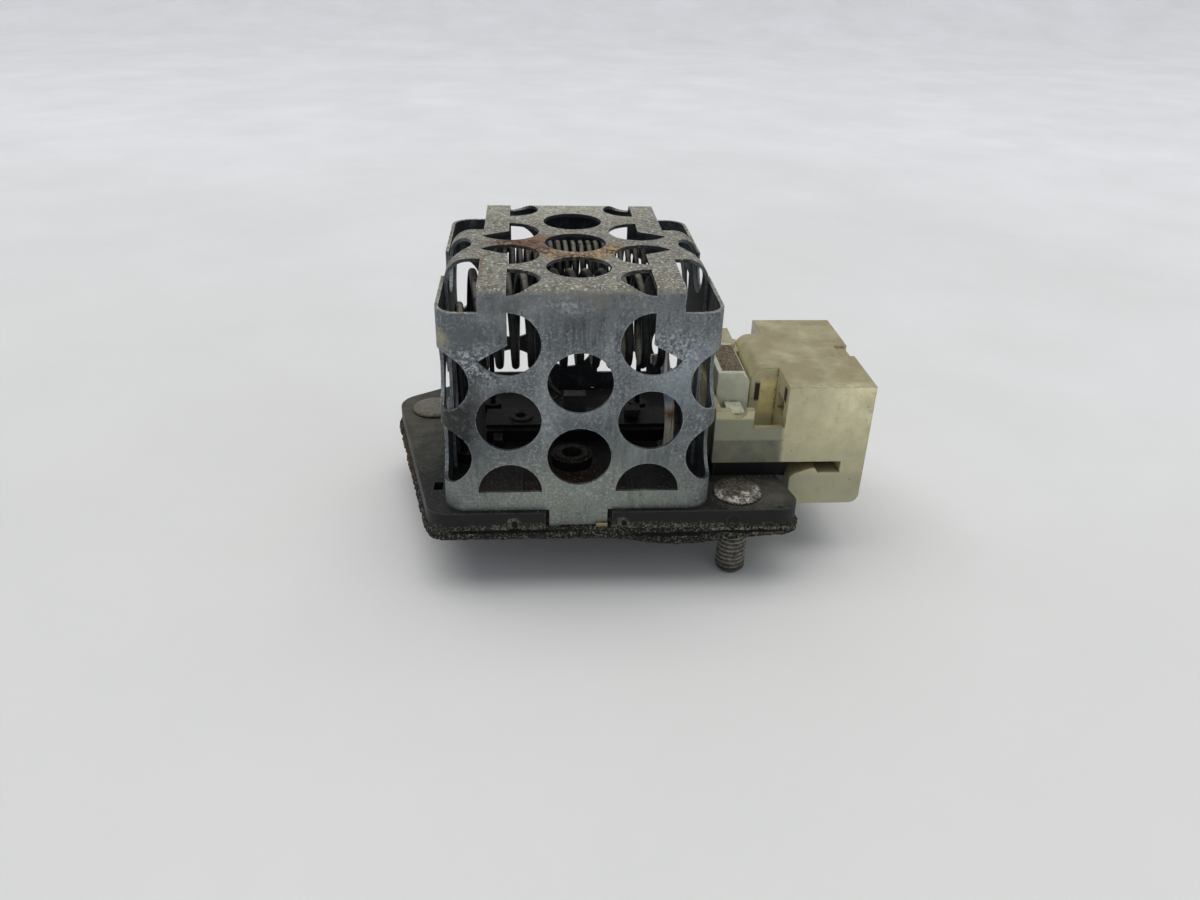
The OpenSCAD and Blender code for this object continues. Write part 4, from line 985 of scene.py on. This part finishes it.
@dataclass
class Studs:
    """The two mounting studs: a low head above the plate and a threaded shank below.

    A thread's flank runs between two shares of its pitch, counted from the middle of the crest.
    """

    places: dict[str, tuple[float, float]] = field(default_factory=lambda: {
        "stud_front": (31.5, -19.2), "stud_rear": (-31.5, 19.2)})
    thread_d: float = 6.0
    thread_pitch: float = 1.0
    thread_depth: float = 0.55
    flank: tuple[float, float] = (0.08, 0.42)
    shank_sides: int = 40
    shank_rows: int = 110
    chamfer: float = 0.9
    tip_z: float = -12.3
    collar_z: float = 1.9
    head_sides: int = 72
    head_profile: tuple[tuple[float, float], ...] = (
        (2.6, 1.4), (2.9, 1.9), (4.0, 1.9), (4.0, 2.75), (3.0, 2.75), (3.0, 5.7), (4.75, 5.7), (4.9, 5.85),
        (4.9, 6.1), (4.75, 6.35), (4.4, 6.55), (3.6, 6.75), (2.4, 6.86), (1.2, 6.88))
    rough: float = 0.05
    rough_above: float = 5.8
    rough_within: float = 4.85
    head_top: float = 7.2
    sharp_deg: float = 50.0

    def form(self) -> NodeForm:
        """Builds the tree that cuts a thread into a cylinder and adds it to the head.

        Returns:
            The tree, with its named sizes.
        """
        form = NodeForm("threaded shank", {"Middle": Vector, "Length": float, "Pitch": float, "Radius": float,
                                           "Root radius": float, "Tip radius": float})
        tree, size = form.tree, form.size
        bar = add(tree, "GeometryNodeMeshCylinder", {
            "Vertices": self.shank_sides, "Side Segments": self.shank_rows, "Fill Segments": 1,
            "Radius": size["Radius"], "Depth": size["Length"]})
        place = add(tree, "GeometryNodeInputPosition")
        x, y, z = add(tree, "ShaderNodeSeparateXYZ", {0: place}).outputs
        height = add(tree, "ShaderNodeMath", {0: size["Length"], 1: 0.5, 2: z}, operation="MULTIPLY_ADD")
        rise = add(tree, "ShaderNodeMath", {0: height, 1: size["Pitch"]}, operation="DIVIDE")
        turned = add(tree, "ShaderNodeMath", {0: y, 1: x}, operation="ARCTAN2")
        turned = add(tree, "ShaderNodeMath", {0: turned, 1: math.tau}, operation="DIVIDE")
        wave = add(tree, "ShaderNodeMath", {0: rise, 1: turned}, operation="SUBTRACT")
        wave = add(tree, "ShaderNodeMath", {0: wave, 1: 0.5}, operation="PINGPONG")
        crest = add(tree, "ShaderNodeMapRange", {
            0: wave, 1: self.flank[0], 2: self.flank[1], 3: size["Radius"], 4: size["Root radius"]})
        tip = add(tree, "ShaderNodeMath", {0: height, 1: size["Tip radius"]}, operation="ADD")
        rim = add(tree, "ShaderNodeMath", {0: crest, 1: tip}, operation="MINIMUM")
        rim = add(tree, "ShaderNodeMath", {0: rim, 1: size["Radius"]}, operation="DIVIDE")
        narrow = add(tree, "ShaderNodeCombineXYZ", {0: rim, 1: rim, 2: 1.0})
        placed = add(tree, "ShaderNodeVectorMath", {0: place, 1: narrow, 2: size["Middle"]},
                     operation="MULTIPLY_ADD")
        cut = add(tree, "GeometryNodeSetPosition", {"Geometry": bar, "Position": placed})
        whole = add(tree, "GeometryNodeJoinGeometry")
        for part in (size["Geometry"], cut.outputs[0]):
            tree.links.new(part, whole.inputs[0])
        form.close(whole, CORRODED_STUD)
        return form

    def head(self, name: str, at: tuple[float, float]) -> Object:
        """Turns the head and collar, with the slight unevenness that rust gives.

        Args:
            name: the piece's name.
            at: the stud's axis.

        Returns:
            The head.
        """
        around, points, faces = self.head_sides, [], []
        for r, z in self.head_profile:
            for k in range(around):
                a = math.tau * k / around
                on_rim = Vector((at[0] + r * math.cos(a), at[1] + r * math.sin(a), z))
                rusted = z > self.rough_above and r < self.rough_within
                lump = self.rough * noise.noise(on_rim * 1.1) if rusted else 0.0
                points.append(on_rim + Vector((0, 0, min(lump, self.head_top - z))))
        rings = len(self.head_profile)
        for i in range(rings - 1):
            for k in range(around):
                n = (k + 1) % around
                faces.append((i * around + k, i * around + n, (i + 1) * around + n, (i + 1) * around + k))
        faces.append(tuple(range(around - 1, -1, -1)))
        faces.append(tuple((rings - 1) * around + k for k in range(around)))
        return mesh_object(name, points, faces, CORRODED_STUD)

    def build(self) -> None:
        """Makes both studs in place of their CAD nodes."""
        form, length, radius = self.form(), self.collar_z - self.tip_z, self.thread_d / 2
        for node, (x, y) in self.places.items():
            stud = self.head(f"threaded_{node}", (x, y))
            form.use(stud, CORRODED_STUD, Middle=Vector((x, y, self.tip_z + length / 2)) * MM,
                     Length=length * MM, Pitch=self.thread_pitch * MM, Radius=radius * MM,
                     Root_radius=(radius - self.thread_depth) * MM, Tip_radius=(radius - self.chamfer) * MM)
            stud.data.shade_smooth()
            stud.data.set_sharp_from_angle(angle=math.radians(self.sharp_deg))
            carry(stud, "stud_steel", node)


@dataclass
class FoamGasket:
    """The foam gasket: torn cells at its edge, and parted and hanging a little at the right."""

    voxel: float = 0.4
    thickness: float = 1.9
    tears: tuple[tuple[float, float], ...] = ((0.5, 0.6), (1.3, 0.5), (2.6, 0.3))
    rough_flat: float = 0.14
    rough_edge: float = 0.55
    sag_at: Triple = (20.0, -27.0, 0.0)
    sag_reach: tuple[float, float] = (10.0, 8.0)
    sag_depth: float = 1.8
    sag_below: float = 1.4
    wave_depth: float = 0.25
    wave_often: float = 0.12

    def displaced(self, p: Vector, n: Vector) -> Vector:
        """Moves one point of the gasket's skin.

        Args:
            p: the point, in millimetres.
            n: the skin's normal there.

        Returns:
            Where the point goes, in millimetres.
        """
        torn = sum(noise.noise(p * often) * deep for often, deep in self.tears)
        moved = p + n * torn * (self.rough_flat + self.rough_edge * (1 - abs(n.z)))
        if p.z < self.sag_below:
            away = math.hypot((p.x - self.sag_at[0]) / self.sag_reach[0],
                              (p.y - self.sag_at[1]) / self.sag_reach[1])
            share = 1 - p.z / self.thickness
            moved.z -= share * self.sag_depth * math.exp(-away * away)
            slow = Vector((p.x * self.wave_often, p.y * self.wave_often, 5.0))
            moved.z -= share * self.wave_depth * noise.noise(slow)
        moved.z = min(moved.z, self.thickness)
        return moved

    def build(self) -> None:
        """Makes the gasket in place of its CAD node."""
        pad = copy_of_node("gasket", "foam_gasket", CELLULAR_FOAM)
        remesh(pad, CELLULAR_FOAM, self.voxel)
        moved = [self.displaced(v.co / MM, v.normal) * MM for v in pad.data.vertices]
        for v, at in zip(pad.data.vertices, moved):
            v.co = at
        pad.data.shade_smooth()
        carry(pad, "gasket_foam", "gasket")


@dataclass
class RustCrumbs:
    """Loose rust on the deck, strewn by a tree over the faces that look up.

    A crumb is a ball of the crumb size, squeezed between smallest and largest along each axis.
    """

    seed: int = 11
    density: float = 1.2e7
    crumb: float = 0.16
    smallest: Triple = (0.4, 0.4, 0.2)
    largest: Triple = (1.9, 1.5, 0.8)
    spin: float = 6.28
    heap: Triple = (1.0, -12.0, 5.7)
    heap_reach: float = 18.0
    clump: float = 5.0
    clump_cut: tuple[float, float] = (0.42, 0.66)
    deck_from: float = 5.2
    level: float = 0.9

    def form(self) -> NodeForm:
        """Builds the tree that strews crumbs where a patchy pattern allows.

        Returns:
            The tree, with its named sizes.
        """
        form = NodeForm("strewn crumbs", {"Density": float, "Crumb size": float, "Seed": int, "Heap": Vector,
                                          "Heap reach": float})
        tree, size = form.tree, form.size
        place = add(tree, "GeometryNodeInputPosition")
        away = add(tree, "ShaderNodeVectorMath", {0: place, 1: size["Heap"]},
                   operation="DISTANCE").outputs["Value"]
        near = add(tree, "ShaderNodeMapRange", {0: away, 1: 0.0, 2: size["Heap reach"], 3: 1.0, 4: 0.0})
        clumps = add(tree, "ShaderNodeTexNoise", {"Vector": place, "Scale": 1 / (self.clump * MM),
                                                 "Detail": 3.0})
        clumps = add(tree, "ShaderNodeMapRange", {
            0: clumps, 1: self.clump_cut[0], 2: self.clump_cut[1], 3: 0.0, 4: size["Density"]})
        share = add(tree, "ShaderNodeMath", {0: clumps, 1: near}, operation="MULTIPLY")
        strewn = add(tree, "GeometryNodeDistributePointsOnFaces", {
            "Mesh": size["Geometry"], "Density": share, "Seed": size["Seed"]})
        grain = add(tree, "GeometryNodeMeshIcoSphere", {"Radius": size["Crumb size"], "Subdivisions": 1})
        spin = add(tree, "FunctionNodeRandomValue", {"Max": (self.spin,) * 3, "Seed": size["Seed"]},
                   data_type="FLOAT_VECTOR")
        scale = add(tree, "FunctionNodeRandomValue", {
            "Min": self.smallest, "Max": self.largest, "Seed": size["Seed"]}, data_type="FLOAT_VECTOR")
        form.close(add(tree, "GeometryNodeInstanceOnPoints", {
            "Points": strewn, "Instance": grain, "Rotation": spin, "Scale": scale}), RUST_CRUMBS)
        return form

    def build(self) -> None:
        """Strews the crumbs on a copy of the deck's upper faces."""
        crumbs = copy_of_node("base_plate", "rust_crumbs", RUST_CRUMBS)
        shape = bmesh.new()
        shape.from_mesh(crumbs.data)
        shape.normal_update()
        low = [f for f in shape.faces
               if f.normal.z < self.level or f.calc_center_median().z < self.deck_from * MM]
        bmesh.ops.delete(shape, geom=low, context="FACES")
        shape.to_mesh(crumbs.data)
        shape.free()
        self.form().use(crumbs, RUST_CRUMBS, Density=self.density, Crumb_size=self.crumb * MM,
                        Seed=self.seed, Heap=Vector(self.heap) * MM, Heap_reach=self.heap_reach * MM)
        carry(crumbs, "rough_fill")


@dataclass
class Connector:
    """The nylon housing with its blades, the pale lock block and its crumbly filling."""

    blades: int = 4
    fill_voxel: float = 0.22
    fill_lumps: tuple[tuple[float, float], ...] = ((1.3, 0.5), (3.1, 0.3))
    fill_rough: float = 0.35
    fill_sunk: float = 0.15
    fill_top: float = 26.98
    fill_level: float = 0.5

    def build(self) -> None:
        """Dresses the housing and makes the filling."""
        dress("housing", AGED_NYLON)
        dress("lock_block", PALE_NYLON)
        for k in range(1, self.blades + 1):
            dress(f"blade_{k}", TINNED_BRASS)
        fill = copy_of_node("lock_fill", "crumbly_filling", CRUMBLY_FILL)
        remesh(fill, CRUMBLY_FILL, self.fill_voxel)
        for v in fill.data.vertices:
            p = v.co / MM
            lump = sum(noise.noise(p * often) * deep for often, deep in self.fill_lumps)
            if v.normal.z > self.fill_level:
                v.co.z = min(p.z - self.fill_sunk + lump * self.fill_rough, self.fill_top) * MM
        carry(fill, "rough_fill", "lock_fill")


@dataclass
class DeckParts:
    """The cage, the plate and what stands on it, which keep their CAD shapes."""

    finishes: dict[str, Finish] = field(default_factory=lambda: {
        "cage": WEATHERED_ZINC, "base_plate": DUSTY_MOULDING, "tap_strip": HEAT_TINT_AND_PAINTED_REFLECTION,
        "left_eyelet": TARNISHED_BRASS, "centre_eyelet": TARNISHED_BRASS, "terminal_lug": TARNISHED_BRASS,
        "cutout": CUTOUT_CASE, "cutout_leads": DULL_LEAD})

    def build(self) -> None:
        """Dresses the CAD nodes."""
        for node, finish in self.finishes.items():
            dress(node, finish)


@dataclass(frozen=True)
class SoftLight:
    """A far light, so wide that its shadows are soft. Its angles are in degrees."""

    name: str
    tilt: float
    turn: float
    strength: float
    spread: float = 75.0
    colour: Triple = (1.0, 0.98, 0.95)

    def hang(self) -> None:
        """Puts the light in the scene."""
        lamp = bpy.data.lights.new(self.name, "SUN")
        lamp.angle, lamp.energy, lamp.color = math.radians(self.spread), self.strength, self.colour
        put_in_scene(self.name, lamp).rotation_euler = (math.radians(self.tilt), 0.0, math.radians(self.turn))


@dataclass
class Studio:
    """The pale floor and backdrop, the soft lights and the camera."""

    floor_z: float = -12.3
    near_y: float = -3000.0
    bend_y: float = 900.0
    bend_radius: float = 500.0
    back_top: float = 3000.0
    half_width: float = 3500.0
    room: str = "#dbe4f6"
    room_light: float = 0.4
    lights: tuple[SoftLight, ...] = (
        SoftLight("ceiling", 14.0, 200.0, 2.6), SoftLight("window", 50.0, 20.0, 0.3))
    eye: Triple = (-9.19, -180.21, 104.65)
    yaw: float = 4.624
    pitch: float = 28.832
    roll: float = -1.649
    lens: float = 28.72
    sensor: float = 36.0
    clip_m: tuple[float, float] = (0.01, 20.0)

    def floor(self) -> None:
        """Makes one sheet that runs from the floor up into the backdrop."""
        rows = [(self.near_y, self.floor_z), (self.bend_y, self.floor_z)]
        for a in (math.radians(d) for d in range(6, 91, 6)):
            rows.append((self.bend_y + self.bend_radius * math.sin(a),
                         self.floor_z + self.bend_radius * (1 - math.cos(a))))
        rows.append((self.bend_y + self.bend_radius, self.back_top))
        points = [(x, y, z) for y, z in rows for x in (-self.half_width, self.half_width)]
        faces = [(2 * i, 2 * i + 1, 2 * i + 3, 2 * i + 2) for i in range(len(rows) - 1)]
        mesh_object("studio_floor", points, faces, STUDIO_BOARD)

    def light(self) -> None:
        """Hangs a wide soft light overhead and a weak one to the front, in an even grey room."""
        world = bpy.data.worlds.new("studio")
        bpy.context.scene.world = world
        world.use_nodes = True
        world.node_tree.nodes.clear()
        room = add(world.node_tree, "ShaderNodeBackground", {"Color": linear(self.room),
                                                            "Strength": self.room_light})
        add(world.node_tree, "ShaderNodeOutputWorld", {0: room})
        for lamp in self.lights:
            lamp.hang()

    def camera(self) -> None:
        """Sets the camera at the photograph's place and angle."""
        yaw, pitch, roll = (math.radians(a) for a in (self.yaw, self.pitch, self.roll))
        ahead = Vector((math.sin(yaw) * math.cos(pitch), math.cos(yaw) * math.cos(pitch), -math.sin(pitch)))
        level = Vector((math.cos(yaw), -math.sin(yaw), 0.0))
        below = ahead.cross(level)
        across = level * math.cos(roll) + below * math.sin(roll)
        down = below * math.cos(roll) - level * math.sin(roll)
        turn = Matrix((across, -down, -ahead)).transposed().to_4x4()
        data = bpy.data.cameras.new("camera")
        data.lens, data.sensor_width = self.lens, self.sensor
        data.clip_start, data.clip_end = self.clip_m
        camera = put_in_scene("camera", data)
        camera.matrix_world = Matrix.Translation(Vector(self.eye) * MM) @ turn
        bpy.context.scene.camera = camera

    def build(self) -> None:
        """Sets up the studio."""
        self.floor()
        self.light()
        self.camera()
        bpy.context.scene.view_settings.view_transform = "Standard"


def main() -> None:
    """Builds the studio and each sub-assembly in order."""
    logging.basicConfig(level=logging.INFO, format="%(name)s: %(message)s")
    Studio().build()
    for assembly in (DeckParts(), Coils(), Studs(), FoamGasket(), RustCrumbs(), Connector()):
        assembly.build()
        log.info("%s done", type(assembly).__name__)


if __name__ == "__main__":
    main()
